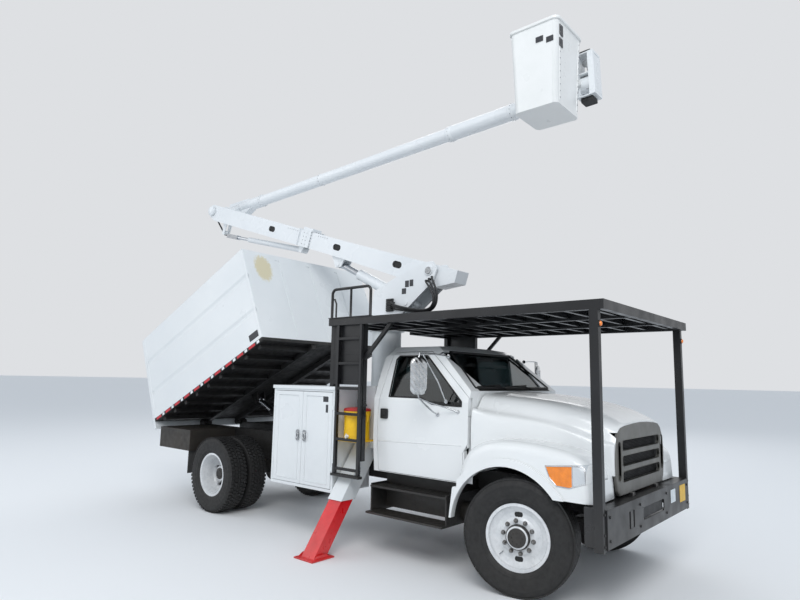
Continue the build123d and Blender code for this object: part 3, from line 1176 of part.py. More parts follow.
# Lower boom: along runs from its pivot to the elbow. A tapered box whose end is a fork.
# A cylinder under the boom draws a chain round a roller to the drum in that fork.
CHAIN_LINE = ((2760.0, -222.0), (5090.0, -375.0))   # from the cylinder's base to the roller
CHAIN_HALF, CHAIN_THICK = 18.0, 10.0
ROLLER_RADIUS = 40.0
ELBOW_BARREL = (60.0, 1545.0)                       # along the line from its base
ELBOW_FORK = (1890.0, 2220.0)                       # the rod's fork, as it is parked
CHAIN_START = 1990.0
BOOM_HOLES = [(3550, -24), (1862, -30), (595, -35)]  # access holes in the boom's sides
HOLE_DEPTH = 60.0
COLLAR = (2511.0, 2802.0)       # flanges of the joint between the boom's two lengths


LINE_START = Vector(CHAIN_LINE[0][0], 0, CHAIN_LINE[0][1])
LINE_RUN = (Vector(CHAIN_LINE[1][0], 0, CHAIN_LINE[1][1]) - LINE_START).normalized()
LINE = Plane(origin=LINE_START, x_dir=(0, 1, 0), z_dir=LINE_RUN)
LINE_DOWN = Vector(LINE_RUN.Z, 0, -LINE_RUN.X)
CHAIN_DROP = CHAIN_THICK / 2 + PLAY
ROLLER = (CHAIN_LINE[1][0] - LINE_DOWN.X * (ROLLER_RADIUS + CHAIN_DROP),
          CHAIN_LINE[1][1] - LINE_DOWN.Z * (ROLLER_RADIUS + CHAIN_DROP))


def along_line(sketch_radius, low, high):
    """A round bar on the elbow cylinder's line, in the boom's own axes."""
    with BuildPart() as piece:
        with BuildSketch(LINE.offset(low)):
            Circle(sketch_radius)
        extrude(amount=high - low)
    return piece.part


with BuildPart() as lower_boom:
    with BuildPart(mode=Mode.PRIVATE) as level_boom:
        add(side_prism(
            [(-415, 100), (1890, 92), (LOWER_LENGTH, ELBOW_NOSE), (LOWER_LENGTH, -ELBOW_NOSE),
             (LOWER_LENGTH - 110, -165), (1890, -167), (300, -200), (-120, -190), (-415, -60)],
            (-LOWER_HALF, LOWER_HALF)))
        add(cross_pin(LOWER_LENGTH, 0, (-LOWER_HALF, LOWER_HALF), ELBOW_NOSE))
        add(block((LOWER_LENGTH - 190, LOWER_LENGTH + 200), (-ELBOW_SLOT, ELBOW_SLOT), (-300, 300)),
            mode=Mode.SUBTRACT)
        for side in SIDES.values():
            with BuildSketch(Plane.XZ.offset(side * (LOWER_HALF - HOLE_DEPTH))):
                with Locations(*BOOM_HOLES):
                    SlotOverall(160, 84)
            extrude(amount=side * (HOLE_DEPTH + 1), mode=Mode.SUBTRACT)
        for along in COLLAR:
            add(block((along - 9, along + 9), (-LOWER_HALF - 20, LOWER_HALF + 20), (-160, 112)))
        add(block((COLLAR[0] + 30, COLLAR[1] - 30), (-90, 90), (80, 150)))
        add(cross_pin(0, 0, (-200, 200), SHOULDER_PIN + PLAY), mode=Mode.SUBTRACT)
        add(cross_pin(LOWER_LENGTH, 0, (-200, 200), ELBOW_PIN + PLAY), mode=Mode.SUBTRACT)
        for side in SIDES.values():
            # hanger plates of the chain's roller
            add(side_prism(
                [(ROLLER[0] - 60, -100), (ROLLER[0] + 60, -100), (ROLLER[0] + 30, ROLLER[1] - 40),
                 (ROLLER[0] - 30, ROLLER[1] - 40)], sorted((side * 45, side * 60))))
            # ears of the cylinder's base
            add(side_prism(
                [(CHAIN_LINE[0][0] - 70, -160), (CHAIN_LINE[0][0] + 70, -160),
                 (CHAIN_LINE[0][0] + 30, CHAIN_LINE[0][1] - 42),
                 (CHAIN_LINE[0][0] - 30, CHAIN_LINE[0][1] - 42)], sorted((side * 50, side * 66))))
        add(cross_pin(*ROLLER, (-60, 60), 16))
        add(cross_pin(*ROLLER, (-CHAIN_HALF - 4, CHAIN_HALF + 4), ROLLER_RADIUS))
        add(cross_pin(*CHAIN_LINE[0], (-66, 66), 24))
    add(on_plane(level_boom.part, LOWER_PLANE))
    for side in SIDES.values():
        y = sorted((side * 65, side * 85))
        add(side_prism([(LIFT_EYE[0] - 160, LIFT_EYE[1] + 190), (LIFT_EYE[0] + 160, LIFT_EYE[1] + 90),
                        (LIFT_EYE[0] + 55, LIFT_EYE[1] - 50), (LIFT_EYE[0] - 55, LIFT_EYE[1] - 50)], y))
        add(cross_pin(*LIFT_EYE, sorted((side * 84, side * 97)), LIFT_PIN))
lower_boom.part.label = "lower_boom"
export_step(lower_boom.part, "parts/lower_boom.step")

lift_solids = ram(LIFT_BASE, LIFT_EYE, 1130, 80, 45, LIFT_PIN, LIFT_PIN + 22, 60)
with BuildPart() as lift_barrel:
    add(lift_solids[0])
lift_barrel.part.label = "lift_barrel"
export_step(lift_barrel.part, "parts/lift_barrel.step")
with BuildPart() as lift_rod:
    add(lift_solids[1])
lift_rod.part.label = "lift_rod"
export_step(lift_rod.part, "parts/lift_rod.step")

with BuildPart() as elbow_barrel:
    with BuildPart(mode=Mode.PRIVATE) as level_barrel:
        add(along_line(46, 0, ELBOW_BARREL[1]))
        add(cross_pin(*CHAIN_LINE[0], (-49, 49), 48))
        add(cross_pin(*CHAIN_LINE[0], (-70, 70), 24 + PLAY), mode=Mode.SUBTRACT)
        add(along_line(28 + PLAY, 90, ELBOW_BARREL[1] + 10), mode=Mode.SUBTRACT)
    add(on_plane(level_barrel.part, LOWER_PLANE))
elbow_barrel.part.label = "elbow_barrel"
export_step(elbow_barrel.part, "parts/elbow_barrel.step")

with BuildPart() as elbow_rod:
    with BuildPart(mode=Mode.PRIVATE) as level_rod:
        add(along_line(28, 420, ELBOW_FORK[0] + 20))
        with BuildSketch(LINE.offset(ELBOW_FORK[0])):
            Rectangle(84, 76)
        extrude(amount=ELBOW_FORK[1] - ELBOW_FORK[0])
        with BuildSketch(LINE.offset(ELBOW_FORK[0] + 30)):
            Rectangle(48, 90)
        extrude(amount=ELBOW_FORK[1] - ELBOW_FORK[0], mode=Mode.SUBTRACT)
    add(on_plane(level_rod.part, LOWER_PLANE))
elbow_rod.part.label = "elbow_rod"
export_step(elbow_rod.part, "parts/elbow_rod.step")

# The chain: straight along the cylinder's line, then up from the roller to the drum
with BuildPart() as elbow_chain:
    with BuildPart(mode=Mode.PRIVATE) as level_chain:
        roller_middle = Vector(ROLLER[0], 0, ROLLER[1])
        elbow_middle = Vector(LOWER_LENGTH, 0, 0)
        reach = elbow_middle - roller_middle
        lean = atan2(reach.Z, reach.X) - asin((ELBOW_DRUM - ROLLER_RADIUS) / reach.length)
        out = Vector(sin(lean), 0, -cos(lean))
        turn = (LINE_DOWN + out).normalized()
        first = LINE_START + LINE_RUN * CHAIN_START
        corner = roller_middle + turn * ((ROLLER_RADIUS + CHAIN_DROP) / turn.dot(out))
        last = elbow_middle + out * (ELBOW_DRUM + CHAIN_DROP)
        with BuildSketch(Plane.XZ.offset(-CHAIN_HALF)):
            with BuildLine():
                Polyline((first.X, first.Z), (corner.X, corner.Z), (last.X, last.Z))
            trace(line_width=CHAIN_THICK)
        extrude(amount=2 * CHAIN_HALF)
    add(on_plane(level_chain.part, LOWER_PLANE))
elbow_chain.part.label = "elbow_chain"
export_step(elbow_chain.part, "parts/elbow_chain.step")

# Upper boom: a tube beside the lower boom, on an elbow casting, with the bucket's bracket
with BuildPart() as upper_boom:
    with BuildPart(mode=Mode.PRIVATE) as level_upper:
        tube_y = UPPER_Y
        add(rod((-60, tube_y, UPPER_RISE), (UPPER_REACH, tube_y, UPPER_RISE), UPPER_RADIUS))
        add(rod((250, tube_y, UPPER_RISE), (900, tube_y, UPPER_RISE), UPPER_RADIUS + 12))
        add(rod((5150, tube_y, UPPER_RISE), (UPPER_REACH, tube_y, UPPER_RISE), UPPER_RADIUS + 10))
        add(side_prism([(-150, 60), (-110, 260), (520, 245), (560, 40), (150, -130), (-100, -130)],
                       (tube_y - 70, tube_y + 70)))
        add(cross_pin(0, 0, (LOWER_HALF + 12, tube_y + 75), 150))
        add(cross_pin(0, 0, (-LOWER_HALF - 12, LOWER_HALF + 20), ELBOW_PIN))
        add(cross_pin(0, 0, (-LOWER_HALF - 42, -LOWER_HALF - 6), ELBOW_PIN + 20))
        add(cross_pin(0, 0, (-ELBOW_DRUM_HALF, ELBOW_DRUM_HALF), ELBOW_DRUM))
        pivot_y = tube_y - UPPER_RADIUS
        add(cross_pin(BUCKET_PIVOT, UPPER_RISE, (pivot_y - BUCKET_GAP + 1, pivot_y + 40), BUCKET_PIN))
        add(block((UPPER_REACH - 30, UPPER_REACH + 40), (tube_y - 110, tube_y + 110),
                  (UPPER_RISE - 170, UPPER_RISE + 380)))
        for low, high in ((UPPER_RISE + 125, UPPER_RISE + 225), (UPPER_RISE + 252, UPPER_RISE + 352)):
            add(block((UPPER_REACH - 40, UPPER_REACH + 50), (tube_y - 75, tube_y + 75), (low, high)),
                mode=Mode.SUBTRACT)
    add(on_plane(level_upper.part, UPPER_PLANE))
upper_boom.part.label = "upper_boom"
export_step(upper_boom.part, "parts/upper_boom.step")

# Bucket: a tapered tub with a rolled rim, open at the top
BUCKET_X, BUCKET_Z = from_plane(UPPER_PLANE, BUCKET_PIVOT, UPPER_RISE)
BUCKET_FAR = UPPER_Y - UPPER_RADIUS - BUCKET_GAP
BUCKET_BACK = BUCKET_X - 500.0
BUCKET_TAPER = 35.0
RIM_OUT, RIM_HEIGHT = 16.0, 42.0


def tub(inset, low, high):
    """The bucket's form between two heights, drawn in by inset."""
    middle = (BUCKET_BACK + BUCKET_LENGTH / 2, BUCKET_FAR - BUCKET_WIDTH / 2)
    with BuildPart() as piece:
        for z, taper in ((low, BUCKET_TAPER), (high, 0.0)):
            with BuildSketch(Plane(origin=(middle[0], middle[1], z))):
                RectangleRounded(BUCKET_LENGTH - 2 * (taper + inset),
                                 BUCKET_WIDTH - 2 * (taper + inset), 60)
        loft()
    return piece.part


with BuildPart() as bucket:
    floor_z = BUCKET_Z - BUCKET_DROP
    add(tub(0, floor_z, floor_z + BUCKET_HEIGHT))
    with BuildSketch(Plane(origin=(BUCKET_BACK + BUCKET_LENGTH / 2, BUCKET_FAR - BUCKET_WIDTH / 2,
                                   floor_z + BUCKET_HEIGHT - RIM_HEIGHT))):
        RectangleRounded(BUCKET_LENGTH + 2 * RIM_OUT, BUCKET_WIDTH + 2 * RIM_OUT, 60 + RIM_OUT)
    rim = extrude(amount=RIM_HEIGHT)
    fillet([edge for edge in rim.edges() if abs((edge % 0.5).Z) < 0.01], RIM_OUT * 0.8)
    add(cross_pin(BUCKET_X, BUCKET_Z, (BUCKET_FAR - 26, BUCKET_FAR + BUCKET_GAP - 18), BUCKET_PIN + 30))
    add(cross_pin(BUCKET_X, BUCKET_Z, (BUCKET_FAR + 0.5, BUCKET_FAR + BUCKET_GAP), BUCKET_PIN + PLAY),
        mode=Mode.SUBTRACT)
    add(tub(BUCKET_WALL, floor_z + BUCKET_WALL, floor_z + BUCKET_HEIGHT + 10), mode=Mode.SUBTRACT)
bucket.part.label = "bucket"
export_step(bucket.part, "parts/bucket.step")
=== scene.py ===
"""Cherry picker truck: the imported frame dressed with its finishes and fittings.

Lengths in the dataclasses are millimetres, and x is measured forward of the front axle,
as in the part's own source. Meshes are built in metres in the row frame, so a piece
stands where the frame puts its node.
"""

import logging
import math
from dataclasses import dataclass
from enum import Enum
from typing import Iterable, Optional, Sequence

import bmesh
import bpy
from mathutils import Matrix, Vector


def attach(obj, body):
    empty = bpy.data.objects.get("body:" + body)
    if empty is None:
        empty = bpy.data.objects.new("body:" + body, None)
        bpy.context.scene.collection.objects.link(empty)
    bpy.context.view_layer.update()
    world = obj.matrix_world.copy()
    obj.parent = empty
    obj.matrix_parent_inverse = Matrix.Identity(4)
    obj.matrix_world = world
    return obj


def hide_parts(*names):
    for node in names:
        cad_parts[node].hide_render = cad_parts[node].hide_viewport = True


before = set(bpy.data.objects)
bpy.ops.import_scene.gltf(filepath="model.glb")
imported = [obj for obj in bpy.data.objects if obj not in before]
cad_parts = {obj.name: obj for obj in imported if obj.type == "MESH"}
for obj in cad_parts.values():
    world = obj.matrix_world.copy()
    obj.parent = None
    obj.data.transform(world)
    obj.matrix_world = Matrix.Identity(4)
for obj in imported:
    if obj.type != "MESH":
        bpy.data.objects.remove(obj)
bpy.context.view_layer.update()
log = logging.getLogger("cherry_picker")

Point = tuple[float, float, float]
Pair = tuple[float, float]
Socket = bpy.types.NodeSocket
FRONT_AXLE = 3106.154
MM = 0.001
AHEAD, ACROSS, UP = Vector((1, 0, 0)), Vector((0, 1, 0)), Vector((0, 0, 1))


class Side(Enum):
    """A side of the truck: its name in the frame, and the way it lies across."""

    RIGHT = ("right", -1)
    LEFT = ("left", 1)


SIDES = tuple(side.value for side in Side)


# ---------------------------------------------------------------- finishes


def linear(code: str) -> tuple[float, float, float, float]:
    """Turns an sRGB hex colour into the linear colour a shader takes.

    Args:
        code: Six hex digits.

    Returns:
        Linear red, green, blue and an alpha of 1.
    """
    parts = [int(code[k:k + 2], 16) / 255 for k in (0, 2, 4)]
    curve = [c / 12.92 if c <= 0.04045 else ((c + 0.055) / 1.055) ** 2.4 for c in parts]
    return curve[0], curve[1], curve[2], 1.0


def add_node(tree: bpy.types.NodeTree, kind: str, wires: Optional[dict] = None,
             **settings: object) -> bpy.types.Node:
    """Adds one shader node.

    Args:
        tree: The material's or world's node tree.
        kind: Blender's name of the node type.
        wires: Input name or number, to a value or to the socket that feeds it.
        settings: Properties of the node itself.

    Returns:
        The node.
    """
    made = tree.nodes.new(kind)
    for key, value in settings.items():
        setattr(made, key, value)
    for key, value in (wires or {}).items():
        socket = made.inputs[key]
        if isinstance(value, Socket):
            tree.links.new(value, socket)
        else:
            socket.default_value = value
    return made


class Graph:
    """A material's tree as it is wired, with the place on the object that patterns read."""

    def __init__(self, tree: bpy.types.NodeTree) -> None:
        """Starts from an empty tree."""
        self.tree = tree
        self.place = add_node(tree, "ShaderNodeTexCoord").outputs["Object"]

    def noise(self, scale: float, detail: float, roughness: float = 0.5) -> Socket:
        """Clouded noise.

        Args:
            scale: Waves in a metre.
            detail: Finer and finer layers on top.
            roughness: How strong those layers are.

        Returns:
            The socket that carries it, from 0 to 1.
        """
        return add_node(self.tree, "ShaderNodeTexNoise", {
            "Vector": self.place, "Scale": scale, "Detail": detail, "Roughness": roughness,
        }).outputs["Fac"]

    def remap(self, value: Socket, low: float, high: float, to_low: float = 0.0,
              to_high: float = 1.0) -> Socket:
        """Stretches one range over another and clamps it there.

        Args:
            value: The socket to stretch.
            low: Where the first range starts.
            high: Where it ends.
            to_low: What low becomes.
            to_high: What high becomes.

        Returns:
            The socket that carries the result.
        """
        return add_node(self.tree, "ShaderNodeMapRange", {
            "Value": value, "From Min": low, "From Max": high, "To Min": to_low,
            "To Max": to_high,
        }).outputs["Result"]

    def mix(self, share: Socket, under: object, over: str) -> Socket:
        """Lays a hex colour over the colour under it, by share."""
        return add_node(self.tree, "ShaderNodeMix", {0: share, 6: under, 7: linear(over)},
                        data_type="RGBA").outputs[2]

    def math(self, operation: str, first: object, second: object) -> Socket:
        """One operation on two values."""
        return add_node(self.tree, "ShaderNodeMath", {0: first, 1: second},
                        operation=operation).outputs["Value"]


@dataclass(frozen=True)
class Finish:
    """A real surface: two tones that drift into each other, dust low down, grain and gloss.

    Sizes are millimetres on the object, and depths are how far the grain stands up.
    """

    name: str
    tone: str
    drift: str
    roughness: float
    swing: float = 0.08
    metallic: float = 0.0
    ior: float = 1.5
    coat: float = 0.0
    patch_mm: float = 420.0
    grain_mm: float = 3.0
    grain_depth: float = 0.05
    dust: str = "8A8378"
    dust_share: float = 0.0
    dust_top: float = 1100.0
    edge: str = ""
    edge_share: float = 0.0
    transmission: float = 0.0

    PATCH_RANGE = (0.38, 0.66)
    EDGE_RANGE = (0.53, 0.62)
    SMEAR_RANGE = (0.3, 0.7)
    SMEAR_SHARE = 0.35
    DUST_FOOT = 0.1
    COAT_ROUGHNESS = 0.06

    def build(self) -> bpy.types.Material:
        """Makes the material, or returns the one already made.

        Returns:
            The material.
        """
        found = bpy.data.materials.get(self.name)
        if found:
            return found
        material = bpy.data.materials.new(self.name)
        material.use_nodes = True
        tree = material.node_tree
        tree.nodes.clear()
        graph = Graph(tree)
        bump = add_node(tree, "ShaderNodeBump", {
            "Height": self.grain(graph), "Distance": self.grain_depth * MM, "Strength": 1.0,
        })
        shader = add_node(tree, "ShaderNodeBsdfPrincipled", {
            "Base Color": self.colour(graph), "Roughness": self.gloss(graph),
            "Normal": bump.outputs["Normal"], "Metallic": self.metallic, "IOR": self.ior,
            "Transmission Weight": self.transmission, "Coat Weight": self.coat,
            "Coat Roughness": self.COAT_ROUGHNESS,
        })
        add_node(tree, "ShaderNodeOutputMaterial", {"Surface": shader.outputs["BSDF"]})
        return material

    def colour(self, graph: Graph) -> Socket:
        """Two tones in soft patches, then bare edges, then dust that thins with height.

        Args:
            graph: The material's graph.

        Returns:
            The socket that carries the colour.
        """
        spread = graph.remap(graph.noise(1000 / self.patch_mm, 5.0, 0.62), *self.PATCH_RANGE)
        socket = graph.mix(spread, linear(self.tone), self.drift)
        if self.edge_share:
            point = add_node(graph.tree, "ShaderNodeNewGeometry").outputs["Pointiness"]
            bare = graph.remap(point, *self.EDGE_RANGE, 0.0, self.edge_share)
            socket = graph.mix(bare, socket, self.edge)
        if self.dust_share:
            parts = add_node(graph.tree, "ShaderNodeSeparateXYZ", {"Vector": graph.place})
            low = graph.remap(parts.outputs["Z"], self.dust_top * MM, self.DUST_FOOT, 0.0,
                              self.dust_share)
            speckle = graph.noise(9.0, 8.0, 0.7)
            socket = graph.mix(graph.math("MULTIPLY", low, speckle), socket, self.dust)
        return socket

    def gloss(self, graph: Graph) -> Socket:
        """Roughness that wanders about its value.

        Args:
            graph: The material's graph.

        Returns:
            The socket that carries the roughness.
        """
        smear = graph.noise(1000 / (self.patch_mm * self.SMEAR_SHARE), 4.0)
        return graph.remap(smear, *self.SMEAR_RANGE, max(0.02, self.roughness - self.swing),
                           min(1.0, self.roughness + self.swing))

    def grain(self, graph: Graph) -> Socket:
        """The height of the grain."""
        return graph.noise(1000 / self.grain_mm, 3.0)


@dataclass(frozen=True)
class TreadPlate(Finish):
    """Tread steel: raised lozenges stand clear of the sheet."""

    pitch_mm: float = 34.0

    def grain(self, graph: Graph) -> Socket:
        """The lozenges stand up from a flat sheet.

        Args:
            graph: The material's graph.

        Returns:
            The socket that carries the height.
        """
        cells = add_node(graph.tree, "ShaderNodeTexVoronoi", {
            "Vector": graph.place, "Scale": 1000 / self.pitch_mm, "Randomness": 0.0,
        }, distance="MANHATTAN")
        return graph.remap(cells.outputs["Distance"], 0.25, 0.45, 1.0, 0.0)


@dataclass(frozen=True)
class Fluted(Finish):
    """Lens or mirror back pressed in upright flutes."""

    pitch_mm: float = 12.0

    def grain(self, graph: Graph) -> Socket:
        """The flutes run upright, side by side.

        Args:
            graph: The material's graph.

        Returns:
            The socket that carries the height.
        """
        return add_node(graph.tree, "ShaderNodeTexWave", {
            "Vector": graph.place, "Scale": 1000 / self.pitch_mm / 3.2,
        }, bands_direction="DIAGONAL").outputs["Fac"]


@dataclass(frozen=True)
class LampLens(Fluted):
    """A moulded lens: amber behind the divider, clear ahead of it, body enamel past its end."""

    divider_mm: float = 588.0
    end_mm: float = 706.0
    clear: str = "C9CED2"
    body: str = "E9EBEB"

    def colour(self, graph: Graph) -> Socket:
        """Three bands of colour along the truck.

        Args:
            graph: The material's graph.

        Returns:
            The socket that carries the colour.
        """
        socket = super().colour(graph)
        parts = add_node(graph.tree, "ShaderNodeSeparateXYZ", {"Vector": graph.place})
        for limit, tone in ((self.divider_mm, self.clear), (self.end_mm, self.body)):
            past = graph.math("GREATER_THAN", parts.outputs["X"], (FRONT_AXLE + limit) * MM)
            socket = graph.mix(past, socket, tone)
        return socket


@dataclass(frozen=True)
class StainedEnamel(Finish):
    """Enamel with a yellowed patch where something was peeled off it."""

    middle: Point = (-4248.0, -905.0, 3507.0)
    reach: Point = (260.0, 160.0, 220.0)
    stain: str = "CDBE8A"

    def colour(self, graph: Graph) -> Socket:
        """The enamel's tones with the stain over them.

        Args:
            graph: The material's graph.

        Returns:
            The socket that carries the colour.
        """
        tree = graph.tree
        clean = super().colour(graph)
        away = add_node(tree, "ShaderNodeVectorMath", {
            0: graph.place, 1: tuple(at(*self.middle)),
        }, operation="SUBTRACT")
        shares = add_node(tree, "ShaderNodeVectorMath", {
            0: away.outputs[0], 1: tuple(1000 / r for r in self.reach),
        }, operation="MULTIPLY")
        far = add_node(tree, "ShaderNodeVectorMath", {0: shares.outputs[0]}, operation="LENGTH")
        edge = graph.math("ADD", far.outputs["Value"], graph.noise(28.0, 6.0, 0.75))
        return graph.mix(graph.remap(edge, 1.55, 1.3, 0.0, 0.7), clean, self.stain)


# Two-pack enamel sprayed over steel: bright white, with a faint orange peel under the gloss
CAB_ENAMEL = Finish("cab_white_enamel", "E8EAEA", "E3E5E5", 0.24, 0.06, coat=0.5, patch_mm=1500.0,
                    grain_mm=5.0, grain_depth=0.012, dust_share=0.16, dust_top=1000)
# The same enamel on the work bodies, duller and more handled
WORK_ENAMEL = {"tone": "E3E6E7", "drift": "DCE0E2", "roughness": 0.34, "coat": 0.2,
               "patch_mm": 1800.0, "grain_mm": 6.0, "grain_depth": 0.02, "dust": "9A968C",
               "dust_share": 0.2, "dust_top": 1500}
BODY_ENAMEL = Finish("body_white_enamel", **WORK_ENAMEL)
BED_ENAMEL = StainedEnamel("bed_white_enamel", **WORK_ENAMEL)
# Boom enamel over welded plate and filament-wound tube
BOOM_ENAMEL = Finish("boom_white_enamel", "E4E7E9", "DDE1E4", 0.28, 0.07, coat=0.3,
                     patch_mm=1400.0, grain_mm=8.0, grain_depth=0.02)
# Gelcoat on glass fibre: milky, with a soft gloss
BUCKET_GELCOAT = Finish("bucket_gelcoat", "E6E7E6", "DFE1DF", 0.32, 0.06, ior=1.53, coat=0.25,
                        patch_mm=900.0, grain_mm=14.0, grain_depth=0.03)
# Satin black paint on welded tube and plate, chalked to dark grey where it weathers
GUARD_BLACK = Finish("guard_satin_black", "0F1012", "17181B", 0.36, 0.1, patch_mm=600.0,
                     grain_mm=2.5, grain_depth=0.06, edge="38393B", edge_share=0.4,
                     dust_share=0.18)
# Brush-painted black on the frame, axles and springs, dull with road film
CHASSIS_BLACK = Finish("chassis_road_black", "111112", "1C1B1A", 0.6, 0.14, patch_mm=240.0,
                       grain_depth=0.2, dust="4A443C", dust_share=0.35, dust_top=1200)
# Grey plastic of the grille, moulded with a fine spark grain, and the dark behind it
GRILLE_GREY = Finish("grille_moulded_grey", "6B6A66", "62615E", 0.46, ior=1.46, patch_mm=300.0,
                     grain_mm=1.6, grain_depth=0.04)
GRILLE_DARK = Finish("grille_recess_black", "1D1E20", "2A2B2D", 0.55, 0.1, ior=1.46, grain_mm=2.0)
# Bright red enamel on the legs, scraped where the sheath rubs
LEG_RED = Finish("leg_red_enamel", "E11722", "C7111B", 0.34, 0.09, coat=0.25, patch_mm=240.0,
                 grain_mm=4.0, edge="7D1A1A", edge_share=0.45, dust_share=0.25, dust_top=500)
# Moulded dash and bench vinyl: dark greys
CAB_TRIM = Finish("cab_trim_grey", "4B4C50", "3D3E42", 0.6, ior=1.45, grain_mm=1.8,
                  grain_depth=0.12)
BENCH_VINYL = Finish("bench_vinyl_grey", "6C6D70", "5C5D60", 0.5, ior=1.45, grain_mm=2.2,
                     grain_depth=0.2)
# Painted tanks and the cast engine
TANK_BLACK = Finish("tank_painted_black", "131415", "1D1C1B", 0.46, 0.14, patch_mm=200.0,
                    grain_depth=0.1, dust="5D564C", dust_share=0.55, dust_top=1000)
ENGINE_CAST = Finish("engine_cast_grey", "54555A", "3C3B3B", 0.6, 0.12, metallic=0.6,
                     patch_mm=110.0, grain_mm=4.0, grain_depth=0.4)
# Wheels: silver-white enamel baked on pressed steel
WHEEL_WHITE = Finish("wheel_silver_white", "E4E6E8", "D2D5D8", 0.32, 0.1, coat=0.3,
                     patch_mm=90.0, grain_depth=0.03, dust="7C756A", dust_share=0.5)
# Tyre rubber: carbon black, dusty, with a mould grain; softer rubber of flaps and hoses
TYRE_RUBBER = Finish("tyre_rubber", "0E0F11", "161617", 0.66, 0.1, ior=1.52, patch_mm=120.0,
                     grain_mm=1.6, grain_depth=0.08, dust="4C4842", dust_share=0.25)
FLAP_RUBBER = Finish("flap_rubber", "191A1B", "262627", 0.66, 0.1, ior=1.52, grain_mm=2.0,
                     grain_depth=0.1, dust="5D564C", dust_share=0.5, dust_top=900)
HOSE_RUBBER = Finish("hose_rubber", "1A1B1D", "28292B", 0.5, 0.1, ior=1.52, grain_mm=1.5)
# Hard chrome on the rods, zinc on bolts, oil on the chain
ROD_CHROME = Finish("rod_hard_chrome", "C9CCD0", "B9BCC1", 0.12, 0.05, metallic=1.0,
                    patch_mm=60.0, grain_mm=1.0, grain_depth=0.004)
ZINC = Finish("zinc_plated_steel", "A9ACAF", "8C8E90", 0.36, 0.1, metallic=1.0, patch_mm=40.0,
              grain_mm=1.5, grain_depth=0.02)
CHAIN_STEEL = Finish("chain_oiled_steel", "5E6063", "45464A", 0.38, 0.1, metallic=1.0,
                     patch_mm=30.0, grain_mm=1.5, grain_depth=0.03)
# Mirrors: stainless backs pressed in upright flutes, bright tube and silvered glass
MIRROR_STEEL = Fluted("mirror_stainless", "D3D5D6", "C2C4C6", 0.2, 0.06, metallic=1.0,
                      patch_mm=80.0, grain_depth=2.0, pitch_mm=38.0)
MIRROR_TUBE = Finish("mirror_tube_stainless", "C6C9CB", "B4B7BA", 0.22, 0.06, metallic=1.0,
                     patch_mm=50.0, grain_mm=1.0, grain_depth=0.01)
MIRROR_GLASS = Finish("mirror_silvered_glass", "D9DEE0", "CFD5D8", 0.03, 0.02, metallic=1.0,
                      patch_mm=300.0, grain_mm=300.0, grain_depth=0.01)
# Brown-black primer on the boxes behind
BOX_PRIMER = Finish("box_dark_primer", "1D1B1A", "28241F", 0.55, 0.12, patch_mm=230.0,
                    grain_depth=0.1, dust="6B6154", dust_share=0.4, dust_top=1300)
# Moulded polyethylene: the cooler, waxy and bright, and the bucket's white liner
COOLER_YELLOW = Finish("cooler_polyethylene", "F3C311", "E4B20E", 0.42, 0.06, patch_mm=90.0,
                       grain_depth=0.04)
COOLER_RED = Finish("cooler_lid_red", "B3201F", "9C1B1B", 0.42, 0.06, patch_mm=60.0,
                    grain_depth=0.04)
LINER_WHITE = Finish("liner_polyethylene", "E9EAE8", "DADBD8", 0.4, patch_mm=160.0, grain_mm=6.0)
# Toughened glass with a green-grey tint: the cab behind it reads dark
CAB_GLASS = Finish("cab_tinted_glass", "5F6E70", "5A686A", 0.04, 0.02, ior=1.52,
                   transmission=1.0, patch_mm=500.0, grain_mm=400.0, grain_depth=0.02)
# Polycarbonate lamps, fluted inside, and their bright rims
LAMP_AMBER = Fluted("lamp_amber_polycarbonate", "FF8A12", "F07A0A", 0.16, 0.04, ior=1.58,
                    coat=0.6, patch_mm=40.0, grain_depth=0.8, pitch_mm=16.0)
HEADLAMP_LENS = LampLens("headlamp_lens", "F58A16", "E27A0C", 0.16, 0.04, ior=1.58,
                         coat=0.6, patch_mm=60.0, grain_depth=0.8, pitch_mm=16.0)
LAMP_CHROME = Finish("lamp_bright_rim", "D4D6D8", "C0C3C6", 0.14, 0.05, metallic=1.0,
                     patch_mm=70.0, grain_mm=1.0, grain_depth=0.01)
# Cast hub and drum in dull black, wheel nuts of bare steel
HUB_BLACK = Finish("hub_cast_black", "1C1C1E", "2B2927", 0.48, 0.12, patch_mm=60.0, grain_mm=2.5,
                   grain_depth=0.15, dust="6A645B", dust_share=0.4)
NUT_STEEL = Finish("nut_bare_steel", "8E8F91", "6F6A62", 0.4, 0.12, metallic=1.0, patch_mm=14.0,
                   grain_mm=1.2, grain_depth=0.02)
# Small dark parts: grained nylon handle, painted valve block, sealing rubber
HANDLE_BLACK = Finish("handle_nylon", "151617", "202122", 0.42, ior=1.53, patch_mm=60.0,
                      grain_mm=1.2)
VALVE_BLACK = Finish("valve_block_black", "1D1E20", "2B2C2E", 0.45, 0.12, patch_mm=50.0,
                     grain_mm=2.0, grain_depth=0.08)
SEAL_BLACK = Finish("seal_rubber", "141516", "1E1F20", 0.6, patch_mm=40.0, grain_mm=1.5)
# Retroreflective tape, and blank plates
TAPE_RED = Finish("tape_red", "C81D2B", "B01826", 0.3, 0.06, patch_mm=30.0, grain_mm=2.5,
                  grain_depth=0.03)
TAPE_WHITE = Finish("tape_white", "EDEFF0", "DDE0E2", 0.3, 0.06, patch_mm=30.0, grain_mm=2.5,
                    grain_depth=0.03)
PLATE_PALE = Finish("plate_pale", "DCE3E6", "C9D2D7", 0.4, patch_mm=60.0)
PLATE_DARK = Finish("plate_dark", "35373C", "2A2C30", 0.45, patch_mm=30.0)
PLATE_YELLOW = Finish("plate_yellow", "E8B91E", "D8A812", 0.4, patch_mm=40.0)
STEP_PLATE = TreadPlate("step_tread_plate", "141517", "1E1F21", 0.46, 0.12, patch_mm=150.0,
                        grain_depth=1.2, dust="5D564C", dust_share=0.5)

